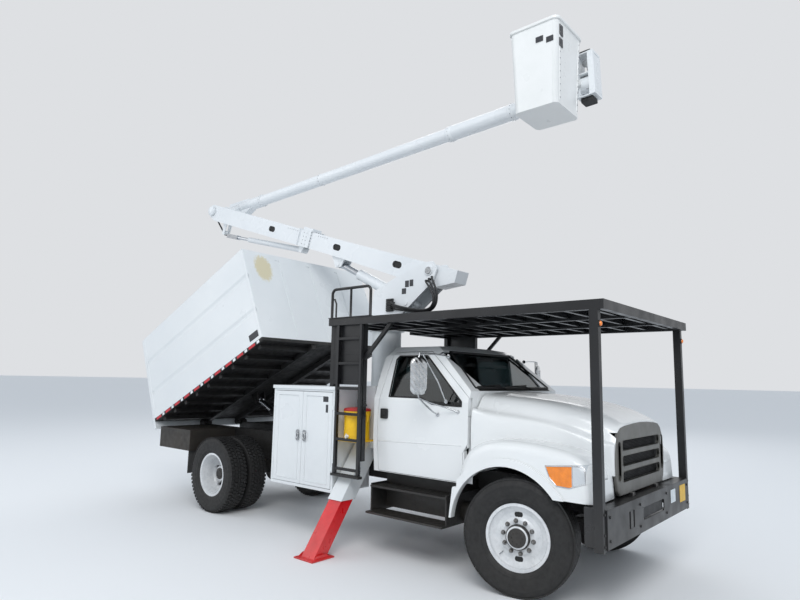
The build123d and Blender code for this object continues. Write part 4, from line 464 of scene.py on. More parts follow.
# A star stands for right and for left
NODE_FINISH: dict[str, Finish] = {
    name.replace("*", hand): finish
    for finish, names in (
        (CHASSIS_BLACK, "chassis_frame front_axle rear_axle bed_floor hoist_barrel knuckle_*"),
        (ENGINE_CAST, "engine"), (GUARD_BLACK, "front_bumper cab_guard ladder"),
        (CAB_ENAMEL, "cab_shell hood door_*"), (CAB_GLASS, "cab_glass door_glass_*"),
        (BENCH_VINYL, "cab_interior"), (STEP_PLATE, "cab_steps"), (TANK_BLACK, "tanks"),
        (BODY_ENAMEL, "toolboxes pedestal outrigger_housings tailgate toolbox_door_*_front"
                      " toolbox_door_*_rear"),
        (BED_ENAMEL, "bed_body"), (BOX_PRIMER, "rear_boxes"), (FLAP_RUBBER, "mud_flaps"),
        (COOLER_YELLOW, "water_cooler"), (GRILLE_GREY, "grille"), (HEADLAMP_LENS, "headlamps"),
        (BOOM_ENAMEL, "turret lower_boom elbow_barrel lift_barrel upper_boom"),
        (ROD_CHROME, "hoist_rod lift_rod elbow_rod"), (CHAIN_STEEL, "elbow_chain"),
        (BUCKET_GELCOAT, "bucket"), (MIRROR_TUBE, "mirror_*"), (LEG_RED, "outrigger_leg_*"),
        (WHEEL_WHITE, "front_wheel_* rear_wheels_*"), (TYRE_RUBBER, "front_tyre_* rear_tyres_*"),
    )
    for name in names.split() for hand, _ in SIDES
}


# ---------------------------------------------------------------- lines and outlines


def at(x: float, y: float, z: float) -> Vector:
    """A place in the row frame, from millimetres with x ahead of the front axle."""
    return Vector(((x + FRONT_AXLE) * MM, y * MM, z * MM))


def circle(middle: Vector, u: Vector, v: Vector, radius: float, count: int,
           start: float = 0.0) -> list[Vector]:
    """Points evenly round a circle, or an ellipse where u and v differ in length.

    Args:
        middle: Its middle.
        u: The way to the first point.
        v: The way to a quarter turn on.
        radius: How many lengths of u and v it reaches.
        count: How many points.
        start: Turn of the first point in radians.

    Returns:
        The points.
    """
    turns = [start + 2 * math.pi * k / count for k in range(count)]
    return [middle + (u * math.cos(a) + v * math.sin(a)) * radius for a in turns]


def rounded(middle: Vector, u: Vector, v: Vector, size: Point, steps: int = 6) -> list[Vector]:
    """A rectangle with round corners.

    Args:
        middle: Its middle, in metres.
        u: Unit vector along its width.
        v: Unit vector along its height.
        size: Width, height and corner radius in millimetres.
        steps: Facets in a corner.

    Returns:
        The outline's points.
    """
    width, height, radius = size
    points = []
    for sx, sy, start in ((1, 1, 0), (-1, 1, 90), (-1, -1, 180), (1, -1, 270)):
        cx, cy = sx * (width / 2 - radius), sy * (height / 2 - radius)
        for k in range(steps + 1):
            a = math.radians(start + 90 * k / steps)
            points.append(middle + (u * (cx + radius * math.cos(a))
                                    + v * (cy + radius * math.sin(a))) * MM)
    return points


def fine(points: Sequence[Vector], step: float = 0.03) -> list[Vector]:
    """Divides a closed line of points into short runs.

    Args:
        points: Corners in metres.
        step: Longest run in metres.

    Returns:
        The finer line.
    """
    out = []
    for a, b in zip(points, [*points[1:], points[0]]):
        count = max(1, int((b - a).length / step))
        out.extend(a.lerp(b, k / count) for k in range(count))
    return out


def smooth_path(knots: Sequence[Vector], steps: int) -> list[Vector]:
    """A smooth line through points.

    Args:
        knots: The points.
        steps: Runs between each pair.

    Returns:
        The points of the finer line.
    """
    line = []
    ends = [knots[0] * 2 - knots[1], *knots, knots[-1] * 2 - knots[-2]]
    for a, b, c, d in zip(ends, ends[1:], ends[2:], ends[3:]):
        for k in range(steps):
            t = k / steps
            line.append(0.5 * (2 * b + (c - a) * t + (2 * a - 5 * b + 4 * c - d) * t * t
                               + (3 * b - a - 3 * c + d) * t ** 3))
    return line + [knots[-1]]


def on_skin(node: str, point: Vector) -> Vector:
    """The nearest place to a point on a CAD node's surface."""
    found, place, _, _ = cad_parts[node].closest_point_on_mesh(point)
    return place if found else point


@dataclass(frozen=True)
class Axes:
    """A body's own side-view axes: along it, across the truck, and square to it."""

    x: float
    z: float
    degrees: float
    backwards: bool = False

    @property
    def along(self) -> Vector:
        """The unit vector that runs along the body."""
        turn = math.radians(self.degrees)
        return Vector(((-1 if self.backwards else 1) * math.cos(turn), 0, math.sin(turn)))

    @property
    def square(self) -> Vector:
        """The unit vector that stands off the body's upper side."""
        run = self.along
        return Vector((-run.z, 0, run.x)) if run.x > 0 else Vector((run.z, 0, -run.x))

    def place(self, along: float, y: float, up: float) -> Vector:
        """A place on the body, in millimetres along it, across the truck and off it."""
        return at(self.x, y, self.z) + (self.along * along + self.square * up) * MM


LOWER_AXES = Axes(-1750.0, 3320.0, 18.1, True)
UPPER_AXES = Axes(-6979.738, 5029.342, 2.2)
BED_AXES = Axes(-6410.0, 1120.0, 24.4)


# ---------------------------------------------------------------- making


SHARP_ANGLE = math.radians(32)


def round_edges(piece: bpy.types.Object, width: float, segments: int = 2) -> None:
    """Rounds a piece's sharp edges.

    Args:
        piece: The object.
        width: Radius in millimetres.
        segments: Facets across the round.
    """
    bevel = piece.modifiers.new("rounded_edges", "BEVEL")
    bevel.width = width * MM
    bevel.segments = segments
    bevel.limit_method = "ANGLE"
    bevel.angle_limit = SHARP_ANGLE
    bevel.harden_normals = False


class Mesh:
    """Collects faces for one piece and turns them into a dressed object."""

    def __init__(self) -> None:
        """Starts an empty mesh."""
        self.bm = bmesh.new()

    def rows(self, rings: Iterable[Sequence[Vector]]) -> list[list[bmesh.types.BMVert]]:
        """Makes a row of vertices for each ring of points."""
        return [[self.bm.verts.new(p) for p in ring] for ring in rings]

    def weave(self, rows: list[list[bmesh.types.BMVert]], closed: bool,
              looped: bool = False) -> None:
        """Fills between rows of vertices with four-sided faces.

        Args:
            rows: The vertices.
            closed: Whether each row closes on itself.
            looped: Whether the last row meets the first.
        """
        count = len(rows[0])
        for a, b in zip(rows, rows[1:] + rows[:1] * looped):
            for k in range(count if closed else count - 1):
                n = (k + 1) % count
                self.bm.faces.new((a[k], a[n], b[n], b[k]))

    def skin(self, rings: Sequence[Sequence[Vector]], closed: bool = True,
             caps: bool = True) -> None:
        """Joins rings of the same number of points with a skin.

        Args:
            rings: Points of each ring, in order along the piece.
            closed: Whether each ring closes on itself.
            caps: Whether the first and last rings are filled.
        """
        rows = self.rows(rings)
        self.weave(rows, closed)
        if caps and closed:
            self.bm.faces.new(rows[0][::-1])
            self.bm.faces.new(rows[-1])

    def prism(self, outline: Sequence[Vector], depth: Vector) -> None:
        """A flat outline pushed along depth."""
        self.skin([outline, [p + depth for p in outline]])

    def pad(self, middle: Vector, u: Vector, v: Vector, size: Point, depth: Vector,
            steps: int = 6) -> None:
        """A plate with round corners; see rounded for its outline."""
        self.prism(rounded(middle, u, v, size, steps), depth)

    def box(self, low: Vector, high: Vector) -> None:
        """A box between its lowest and its highest corner."""
        corners = ((low.x, low.y), (high.x, low.y), (high.x, high.y), (low.x, high.y))
        self.prism([Vector((x, y, low.z)) for x, y in corners], UP * (high.z - low.z))

    def lathe(self, profile: Sequence[Pair], middle: Vector, axis: Vector, steps: int = 64,
              closed: bool = False) -> None:
        """Turns a profile about an axis.

        Args:
            profile: (along the axis, radius) pairs in metres.
            middle: Where the axis starts.
            axis: Its direction.
            steps: How many facets round.
            closed: Whether the profile joins its own start.
        """
        axis = axis.normalized()
        side = axis.orthogonal().normalized()
        self.weave(self.rows([[middle + axis * along + spoke * radius for along, radius in profile]
                              for spoke in circle(Vector(), side, axis.cross(side), 1.0, steps)]),
                   closed, True)

    def tube(self, path: Sequence[Vector], radius: float, sides: int = 12) -> None:
        """A round tube along points.

        Args:
            path: The points, in metres.
            radius: Radius in metres.
            sides: Facets round it.
        """
        rings = []
        for k, point in enumerate(path):
            ahead = (path[min(k + 1, len(path) - 1)] - path[max(k - 1, 0)]).normalized()
            side = (side - ahead * side.dot(ahead) if k else ahead.orthogonal()).normalized()
            rings.append(circle(point, side, ahead.cross(side), radius, sides))
        self.skin(rings)

    def hoop(self, path: Sequence[Vector], radius: float, sides: int = 8) -> None:
        """A round strip along a closed path.

        Args:
            path: Points of the path, in metres; the last isn't the first again.
            radius: Radius of the strip in metres.
            sides: Facets round the strip.
        """
        count = len(path)
        middle = sum(path, Vector()) / count
        rings = []
        for k, point in enumerate(path):
            ahead = (path[(k + 1) % count] - path[k - 1]).normalized()
            outward = point - middle
            outward = (outward - ahead * outward.dot(ahead)).normalized()
            rings.append(circle(point, outward, ahead.cross(outward), radius, sides))
        self.weave(self.rows(rings), True, True)

    def hexes(self, places: Iterable[Vector], axis: Vector, across: float,
              height: float) -> None:
        """Hexagon heads with a chamfered crown.

        Args:
            places: Where each head sits.
            axis: The way the heads stand.
            across: Distance across flats, in metres.
            height: How tall a head is, in metres.
        """
        radius = across / math.sqrt(3)
        for place in places:
            self.lathe([(0, 0), (0, radius), (height * 0.8, radius), (height, radius * 0.82),
                        (height, 0)], place, axis, 6)

    def plate(self, outline: Sequence[Vector], holes: Sequence[Sequence[Vector]],
              depth: Vector) -> None:
        """A flat plate with holes.

        Args:
            outline: Its outer edge.
            holes: The edge of each hole.
            depth: Its thickness, as a vector.
        """
        edges = []
        for verts in self.rows([outline, *holes]):
            edges += [self.bm.edges.new(pair) for pair in zip(verts, verts[1:] + verts[:1])]
        filled = bmesh.ops.triangle_fill(self.bm, edges=edges, use_beauty=True)
        faces = [item for item in filled["geom"] if isinstance(item, bmesh.types.BMFace)]
        pushed = bmesh.ops.extrude_face_region(self.bm, geom=faces, use_keep_orig=True)
        bmesh.ops.translate(self.bm, vec=depth, verts=[
            item for item in pushed["geom"] if isinstance(item, bmesh.types.BMVert)])

    def finish(self, name: str, body: str, finish: Finish, bevel: float = 0.0, segments: int = 2,
               smooth: float = 35.0, subdivide: int = 0, slot: str = "") -> bpy.types.Object:
        """Closes the mesh and makes the object that rides on its body.

        Args:
            name: The piece's name.
            body: The CAD body that it rides on.
            finish: What it is made of.
            bevel: Edge radius in millimetres.
            segments: Facets in a rounded edge.
            smooth: Angle in degrees below which faces shade smoothly.
            subdivide: Levels of subdivision.
            slot: Not used.

        Returns:
            The dressed object.
        """
        bmesh.ops.remove_doubles(self.bm, verts=self.bm.verts, dist=1e-6)
        made = self.place(name, finish)
        if bevel:
            round_edges(made, bevel, segments)
        if subdivide:
            surface = made.modifiers.new("surface", "SUBSURF")
            surface.levels = surface.render_levels = subdivide
        made.data.shade_smooth()
        made.data.set_sharp_from_angle(angle=math.radians(smooth))
        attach(made, body)
        log.info("%s rides on %s", name, body)
        return made

    def place(self, name: str, finish: Finish) -> bpy.types.Object:
        """Turns the faces outward and stands them in the scene as an object.

        Args:
            name: The object's name.
            finish: What it is made of.

        Returns:
            The object.
        """
        bmesh.ops.recalc_face_normals(self.bm, faces=self.bm.faces)
        mesh = bpy.data.meshes.new(name)
        self.bm.to_mesh(mesh)
        self.bm.free()
        made = bpy.data.objects.new(name, mesh)
        bpy.context.scene.collection.objects.link(made)
        made.data.materials.append(finish.build())
        return made


# ---------------------------------------------------------------- studio


@dataclass
class Studio:
    """Pale floor, soft lamps and the camera at the photograph's angle."""

    station: Point = (5.92765, -6.0900, 1.9145)
    heading: float = 40.43
    rise: float = 7.74
    roll: float = 1.14
    lens: float = 26.5
    sensor: float = 36.0
    floor_half: float = 400.0
    floor_tone: str = "ECEDEE"
    sky_tone: str = "DEE0E3"
    soft_tone: str = "DDE6F0"
    soft_strength: float = 0.82
    aim: Point = (0, 0, 1.5)

    LAMPS = (("key", (9.0, -11.0, 13.0), 9.0, 1350.0), ("fill", (-10.0, -12.0, 9.0), 12.0, 350.0),
             ("back", (-6.0, 13.0, 12.0), 10.0, 500.0))

    def camera(self) -> None:
        """Stands the camera."""
        yaw, pitch, roll = (math.radians(v) for v in (self.heading, self.rise, self.roll))
        ahead = Vector((-math.sin(yaw) * math.cos(pitch), math.cos(yaw) * math.cos(pitch),
                        math.sin(pitch)))
        right = ahead.cross(UP).normalized()
        up = right.cross(ahead)
        level_right = right * math.cos(roll) + up * math.sin(roll)
        level_up = up * math.cos(roll) - right * math.sin(roll)
        turn = Matrix((level_right, level_up, -ahead)).transposed()
        data = bpy.data.cameras.new("camera")
        data.lens = self.lens
        data.sensor_width = self.sensor
        eye = bpy.data.objects.new("camera", data)
        eye.matrix_world = Matrix.Translation(self.station) @ turn.to_4x4()
        bpy.context.scene.collection.objects.link(eye)
        bpy.context.scene.camera = eye

    def floor(self) -> None:
        """Lays the pale floor."""
        sheet = Mesh()
        half = self.floor_half
        sheet.skin([[Vector((x, y, 0)) for x in (-half, half)] for y in (-half, half)],
                   closed=False)
        ground = sheet.place("floor", Finish(
            "floor_sealed_concrete", self.floor_tone, self.floor_tone, 0.8, 0.03, grain_mm=8.0))

    def lamps(self) -> None:
        """Hangs a large key at the front right, a fill and a back light."""
        for name, place, size, power in self.LAMPS:
            data = bpy.data.lights.new(name, "AREA")
            data.energy = power
            data.size = size
            lamp = bpy.data.objects.new(name, data)
            lamp.location = place
            away = Vector(self.aim) - Vector(place)
            lamp.rotation_euler = away.to_track_quat("-Z", "Y").to_euler()
            bpy.context.scene.collection.objects.link(lamp)

    def sky(self) -> None:
        """Soft even light all round, with the pale backdrop that the eye and gloss see."""
        world = bpy.data.worlds.new("studio")
        bpy.context.scene.world = world
        world.use_nodes = True
        tree = world.node_tree
        tree.nodes.clear()
        path = add_node(tree, "ShaderNodeLightPath")
        direct = path.outputs["Is Camera Ray"]
        for ray in ("Is Glossy Ray", "Is Transmission Ray"):
            direct = add_node(tree, "ShaderNodeMath", {0: direct, 1: path.outputs[ray]},
                              operation="MAXIMUM").outputs["Value"]
        soft, seen = (add_node(tree, "ShaderNodeBackground", {
            "Color": linear(tone), "Strength": strength,
        }).outputs[0] for tone, strength in ((self.soft_tone, self.soft_strength),
                                             (self.sky_tone, 1.0)))
        mix = add_node(tree, "ShaderNodeMixShader", {0: direct, 1: soft, 2: seen})
        add_node(tree, "ShaderNodeOutputWorld", {"Surface": mix.outputs[0]})

    def build(self) -> None:
        """Sets up the whole studio."""
        bpy.context.scene.view_settings.view_transform = "Standard"
        self.camera()
        self.floor()
        self.lamps()
        self.sky()


@dataclass
class FrameNodes:
    """Gives every CAD node its finish, with softened edges."""

    soft_edge: float = 4.0
    sharp: tuple[str, ...] = ("cab_glass", "door_glass_right", "door_glass_left", "elbow_chain")

    def build(self) -> None:
        """Dresses the nodes."""
        for name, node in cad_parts.items():
            node.data.materials.clear()
            node.data.materials.append(NODE_FINISH[name].build())
            if name not in self.sharp:
                weld = node.modifiers.new("weld", "WELD")
                weld.merge_threshold = 1e-5
                round_edges(node, self.soft_edge)
            log.info("%s is %s", name, NODE_FINISH[name].name)


# ---------------------------------------------------------------- wheels


class Tread(Enum):
    """How a tyre meets the road."""

    RIB = "rib"
    LUG = "lug"


# Rows of tread blocks: low and high edge, share filled, skew and shift
TREAD_ROWS = {
    Tread.RIB: ((-118, -82, 0.97, 0.0, 0.0), (-73, -32, 0.94, 5.0, 0.5), (-23, 23, 0.94, -5.0, 0.0),
                (32, 73, 0.94, 5.0, 0.5), (82, 118, 0.97, 0.0, 0.0)),
    Tread.LUG: ((-124, -78, 0.66, 6.0, 0.0), (-68, -22, 0.8, 12.0, 0.45),
                (-14, 14, 0.86, -8.0, 0.1), (22, 68, 0.8, 12.0, 0.6), (78, 124, 0.66, 6.0, 0.3)),
}
CARCASS_HALF = (
    (-97, 286), (-97, 300), (-112, 302), (-121, 309), (-128, 326), (-131, 340), (-134, 343),
    (-134.5, 349), (-133.5, 352), (-137.5, 372), (-139.5, 400), (-139, 425), (-137, 448),
    (-137.8, 452), (-137.2, 457), (-134, 466), (-129, 482), (-122, 496), (-112, 506), (-90, 507))
CARCASS = CARCASS_HALF + tuple((-a, r) for a, r in reversed(CARCASS_HALF))
STEER = math.radians(12.0)
KINGPIN, HUB_OUT, HUB_HEIGHT = 890, 145, 522
REAR_AXLE, REAR_TWINS = -4836, (1075, 745)
FRONT_HUB = ((79, 112.5), (100, 112.5), (119, 107), (121, 88), (134, 84), (137, 66), (137, 0))
REAR_HUB = ((-138, 113), (-60, 112), (-31, 108), (-28, 84), (-16, 80), (-13, 62), (-13, 0))


@dataclass
class RoadWheel:
    """One wheel position: its tyre with moulded tread, hub and studs."""

    name: str
    middles: tuple[Point, ...]
    outward: Point
    body: str
    tyre_node: str
    tread: Tread
    hub_outs: tuple[Pair, ...]
    stud_out: float
    pitch_radius: float = 142.9
    studs: int = 10
    tread_base: float = 507.0
    tread_top: float = 522.0
    shoulder_fall: float = 3.0
    blocks: int = 60

    def __post_init__(self) -> None:
        """Works out the axis and two spokes square to it."""
        self.axis = Vector(self.outward).normalized()
        self.side = self.axis.orthogonal().normalized()
        self.lift = self.axis.cross(self.side)

    def block(self, hub: Vector, row: tuple, number: int) -> list[list[Vector]]:
        """One block of the tread.

        Args:
            hub: Middle of the tyre.
            row: The block's row, as in TREAD_ROWS.
            number: Which block of the row.

        Returns:
            Its two end rings.
        """
        low, high, filled, skew, shift = row
        foot = self.tread_base - 3
        rings = []
        for end in (0.0, 1.0):
            angle = 2 * math.pi * (number + shift + end * filled) / self.blocks
            spoke = self.side * math.cos(angle) + self.lift * math.sin(angle)
            ring = []
            for a, r in ((low, foot), (low, self.tread_top), (high, self.tread_top), (high, foot)):
                fall = self.shoulder_fall if abs(a) > 100 and r > self.tread_base else 0.0
                ring.append(hub + self.axis * (a + skew * (end - 0.5)) * MM
                            + spoke * (r - fall) * MM)
            rings.append(ring)
        return rings

    def tyre(self) -> None:
        """Moulds the tyres of this position as one piece."""
        mesh = Mesh()
        for middle in self.middles:
            hub = at(*middle)
            mesh.lathe([(a * MM, r * MM) for a, r in CARCASS], hub, self.axis, 96, closed=True)
            for row in TREAD_ROWS[self.tread]:
                for number in range(self.blocks):
                    mesh.skin(self.block(hub, row, number))
        piece = mesh.finish(f"{self.name}_tyre", self.body, TYRE_RUBBER, smooth=30, slot="tyre")
        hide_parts(self.tyre_node)

    def hub(self) -> None:
        """Black hub with its cap, the nuts round it, the valve, and black plates in the hand holes
        as painted shade.
        """
        axis, side, lift = self.axis, self.side, self.lift
        hub = at(*self.middles[0])
        cover, nuts, valve = Mesh(), Mesh(), Mesh()
        cover.lathe([(a * MM, r * MM) for a, r in self.hub_outs], hub, axis, 48)
        cap_out, cap_radius = self.hub_outs[-1][0] * MM, self.hub_outs[-2][1] * 0.78 * MM
        cover.hexes(circle(hub + axis * cap_out, side, lift, cap_radius, 8), axis, 0.014, 0.007)
        cover.finish(f"{self.name}_hub", self.body, HUB_BLACK, bevel=2.0)
        for place in circle(hub + axis * self.stud_out * MM, side, lift, self.pitch_radius * MM,
                            self.studs, math.pi / self.studs):
            nuts.lathe([(0, 0), (0, 0.021), (0.004, 0.021), (0.005, 0.019)], place, axis, 20)
            nuts.hexes([place + axis * 0.004], axis, 0.033, 0.021)
            nuts.lathe([(0.02, 0.0), (0.02, 0.010), (0.034, 0.010), (0.037, 0.007), (0.037, 0.0)],
                       place, axis, 12)
        nuts.finish(f"{self.name}_nuts", self.body, NUT_STEEL, bevel=0.8)
        start = hub + side * 0.205 + axis * ((self.stud_out - 10) * MM)
        valve.tube([start, start + axis * 0.02 + side * 0.01, start + axis * 0.045 + side * 0.03],
                   0.004, 8)
        valve.finish(f"{self.name}_valve", self.body, ZINC)
        # Black plates just behind the front wheels' hand holes: painted shade of the space seen
        # through them.
        if self.tread is Tread.RIB:
            hole_shade_plates = Mesh()
            for sign in (-1, 1):
                hole_shade_plates.pad(hub + UP * sign * 0.195 + axis * 0.0622, axis.cross(UP).normalized(),
                          UP, (78, 56, 27.9), axis * 0.0008, 8)
            hole_shade_plates.finish(f"{self.name}_hand_hole_painted_shade", self.body, SEAL_BLACK)

    def build(self) -> None:
        """Builds the tyre, the hub and its nuts."""
        self.tyre()
        self.hub()


def road_wheels() -> list[RoadWheel]:
    """The four wheel positions, the front ones turned as they are parked.

    Returns:
        Front right, front left, rear right, rear left.
    """
    wheels = []
    run, across = HUB_OUT * math.sin(STEER), KINGPIN + HUB_OUT * math.cos(STEER)
    for hand, way in SIDES:
        wheels.append(RoadWheel(
            f"front_{hand}", ((-way * run, way * across, HUB_HEIGHT),),
            (-way * math.sin(STEER), way * math.cos(STEER), 0), f"front_wheel_{hand}",
            f"front_tyre_{hand}", Tread.RIB, FRONT_HUB, 78.5))
    for hand, way in SIDES:
        wheels.append(RoadWheel(
            f"rear_{hand}", tuple((REAR_AXLE, way * y, HUB_HEIGHT) for y in REAR_TWINS),
            (0, way, 0), f"rear_wheels_{hand}", f"rear_tyres_{hand}", Tread.LUG, REAR_HUB, -139.5))
    return wheels


# ---------------------------------------------------------------- cab and hood


@dataclass
class Windscreen:
    """Rubber seal, cowl strip and wipers of the screen, on the cab's sloping front."""

    foot: Pair = (-585.0, 1832.0)
    head: Pair = (-1068.0, 2256.0)
    seal_low: Pair = (24.0, 826.0)
    seal_high: Pair = (618.0, 656.0)
    cowl_half: float = 800.0
    wiper_low: float = 42.0
    wiper_high: float = 70.0

    WIPERS = (("right", -250.0, -770.0, -250.0), ("left", 330.0, -180.0, 340.0))

    def place(self, up: float, y: float, off: float = 0.0) -> Vector:
        """A place on the screen.

        Args:
            up: Millimetres up its slope.
            y: Millimetres across the truck.
            off: Millimetres off its face.

        Returns:
            The place.
        """
        (x, z), (top_x, top_z) = self.foot, self.head
        run = Vector((top_x - x, 0, top_z - z)).normalized()
        return at(x, y, z) + (run * up + Vector((run.z, 0, -run.x)) * off) * MM

    def seal(self) -> None:
        """The rubber that holds the glass."""
        mesh = Mesh()
        (low, low_half), (high, high_half) = self.seal_low, self.seal_high
        mesh.hoop(fine([self.place(low, -low_half), self.place(low, low_half),
                        self.place(high, high_half), self.place(high, -high_half)]), 0.013)
        mesh.finish("screen_seal", "chassis", SEAL_BLACK, smooth=60)

    def cowl(self) -> None:
        """The dark louvred panel below the glass."""
        mesh = Mesh()
        for k in range(7):
            foot = -22 + k * 6.2
            mesh.skin([[self.place(foot + up, y, off)
                        for up, off in ((0, 1), (4.6, 1), (4.6, 4), (0, 6))]
                       for y in (-self.cowl_half, self.cowl_half)])
        mesh.finish("cowl_louvres", "chassis", SEAL_BLACK, bevel=0.6)

    def wipers(self) -> None:
        """Two arms with their blades, parked low on the glass."""
        for name, pivot, low, high in self.WIPERS:
            mesh = Mesh()
            middle = (low + high) / 2
            mesh.lathe([(0, 0), (0, 0.016), (0.016, 0.014), (0.02, 0.008), (0.02, 0)],
                       self.place(6, pivot, 2),
                       self.place(6, pivot, 10) - self.place(6, pivot, 0), 16)
            mesh.tube([self.place(6, pivot, 16), self.place(22, pivot * 0.6 + middle * 0.4, 20),
                       self.place(56, middle, 8)], 0.006, 8)
            for off, half, tall in ((-12, 3.0, 16), (2, 5.0, 5)):
                mesh.skin([[self.place(rise + dr, y, off + up) for dr, up in (
                    (-half, 0), (half, 0), (half, tall), (-half, tall))] for y, rise in (
                        (low, self.wiper_low), (middle, (self.wiper_low + self.wiper_high) / 2),
                        (high, self.wiper_high))])
            mesh.finish(f"wiper_{name}", "chassis", SEAL_BLACK, bevel=0.8)

    def build(self) -> None:
        """Builds the seal, cowl and wipers."""
        self.seal()
        self.cowl()
        self.wipers()


@dataclass
class CabDoor:
    """Fittings of one cab door: window rubber, pull handle, moulding and mirror."""

    hand: str
    way: int
    face: tuple[Pair, ...] = ((890, 980), (1270, 1010), (1700, 1000), (2200, 835), (2300, 735))
    window: tuple[Pair, ...] = (
        (-1655, 1727), (-1668, 2150), (-1630, 2190), (-1230, 2190), (-1190, 2160), (-660, 1705),
        (-660, 1657), (-1038, 1668), (-1202, 1727))
    handle_x: float = -1705.0
    mirror: Point = (-990.0, 1300.0, 1960.0)
    arm_foot: float = 2180.0

    # Depth behind the glass and how far the shell has drawn in
    SHELL = ((0, 0), (14, 0), (26, 10), (32, 26), (34, 60))
    MOULDING = ((-1, -9), (3.5, -4), (4.5, 3), (-1, 10))
    FOOT = ((-0.002, 0), (-0.002, 0.022), (0.006, 0.022), (0.009, 0.012), (0.009, 0))

    def place(self, x: float, y: float, z: float) -> Vector:
        """A place on this door's side of the truck."""
        return at(x, self.way * y, z)

    def skin(self, z: float) -> float:
        """How far out the door's face is at a height.

        Args:
            z: The height in millimetres.

        Returns:
            Millimetres from the middle of the truck.
        """
        for (z0, y0), (z1, y1) in zip(self.face, self.face[1:]):
            if z <= z1:
                return y0 + (y1 - y0) * (z - z0) / (z1 - z0)
        return self.face[-1][1]

    def dress(self, mesh: Mesh, name: str, finish: Finish, **looks: float) -> bpy.types.Object:
        """Finishes a piece that swings with the door; looks are as in Mesh.finish."""
        return mesh.finish(f"{name}_{self.hand}", f"door_{self.hand}", finish, **looks)

    def rubber(self) -> None:
        """The window's dark rubber."""
        mesh = Mesh()
        mesh.hoop(fine([self.place(x, self.skin(z) + 0.5, z) for x, z in self.window]), 0.009)
        self.dress(mesh, "window_rubber", SEAL_BLACK, smooth=60)

    def handle(self) -> None:
        """Black pull handle let into a pocket plate, with its lock."""
        mesh = Mesh()
        out = ACROSS * self.way
        mesh.pad(self.place(self.handle_x, 998, 1535), AHEAD, UP, (100, 112, 14), out * 0.0275)
        mesh.pad(self.place(self.handle_x, 1025, 1546), AHEAD, UP, (74, 46, 10), out * 0.009)
        mesh.lathe([(0, 0), (0, 0.011), (0.004, 0.011), (0.005, 0.008), (0.005, 0)],
                   self.place(self.handle_x, 1025, 1496), out, 16)
        self.dress(mesh, "door_handle", HANDLE_BLACK, bevel=3.0, segments=3)

    def moulding(self) -> None:
        """The pressed step that runs along the door's lower half."""
        mesh = Mesh()
        rows = []
        for x in (-1790, -1400, -1000, -660):
            z = 1228 + (x + 1790) * 0.035
            rows.append([self.place(x, self.skin(z) + dy, z + dz) for dy, dz in self.MOULDING])
        mesh.skin(rows)
        self.dress(mesh, "door_moulding", CAB_ENAMEL, bevel=1.5, smooth=50)

    def mirror_head(self) -> None:
        """Stainless mirror: a fluted back, the glass and its bent tube."""
        u = (ACROSS * self.way * 0.94 - AHEAD * 0.34).normalized()
        n = u.cross(UP) if u.cross(UP).x > 0 else -u.cross(UP)
        middle = self.place(*self.mirror)
        shell, glass, arms = Mesh(), Mesh(), Mesh()
        shell.skin([rounded(middle + n * depth * MM, u, UP,
                            (196 - shrink * 1.6, 384 - shrink * 2, max(70 - shrink, 12)), 8)
                    for depth, shrink in self.SHELL])
        for offset in (-42, 0, 42):
            foot = middle + n * 0.03 + u * offset * MM
            shell.skin([rounded(foot, u, UP, (16, 250, 7.9)),
                        [p + n * 0.009 for p in rounded(foot, u, UP, (10, 240, 4.9))]])
        head = self.dress(shell, "mirror_shell", MIRROR_STEEL, bevel=1.5, smooth=50)
        glass.pad(middle, u, UP, (178, 366, 60), -n * 0.004, 8)
        self.dress(glass, "mirror_glass", MIRROR_GLASS, bevel=1.0)
        inner = self.skin(self.arm_foot)
        for path in (
            [(-940, inner - 2, self.arm_foot), (-960, 1000, 2192), (-978, 1180, 2196),
             (-986, 1290, 2190), (-990, 1300, 2150)],
            [(-990, 1300, 1772), (-988, 1292, 1735), (-978, 1200, 1668), (-962, 1080, 1590),
             (-956, 1006, 1562)],
            [(-990, 1300, 1740), (-930, 1180, 1690), (-800, 1060, 1640), (-700, 1004, 1600)],
            [(-986, 1240, 2194), (-900, 1080, 1900), (-850, 1010, 1700)],
        ):
            arms.tube([self.place(*p) for p in path], 0.0085, 10)
        for foot in ((-940, inner, self.arm_foot), (-956, 1006, 1562), (-700, 1003, 1600),
                     (-850, 1003, 1700)):
            arms.lathe(self.FOOT, self.place(*foot), ACROSS * self.way, 16)
        self.dress(arms, "mirror_arms", MIRROR_TUBE, smooth=60)
        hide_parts(f"mirror_{self.hand}")

    def build(self) -> None:
        """Builds the door's fittings."""
        self.rubber()
        self.handle()
        self.moulding()
        self.mirror_head()


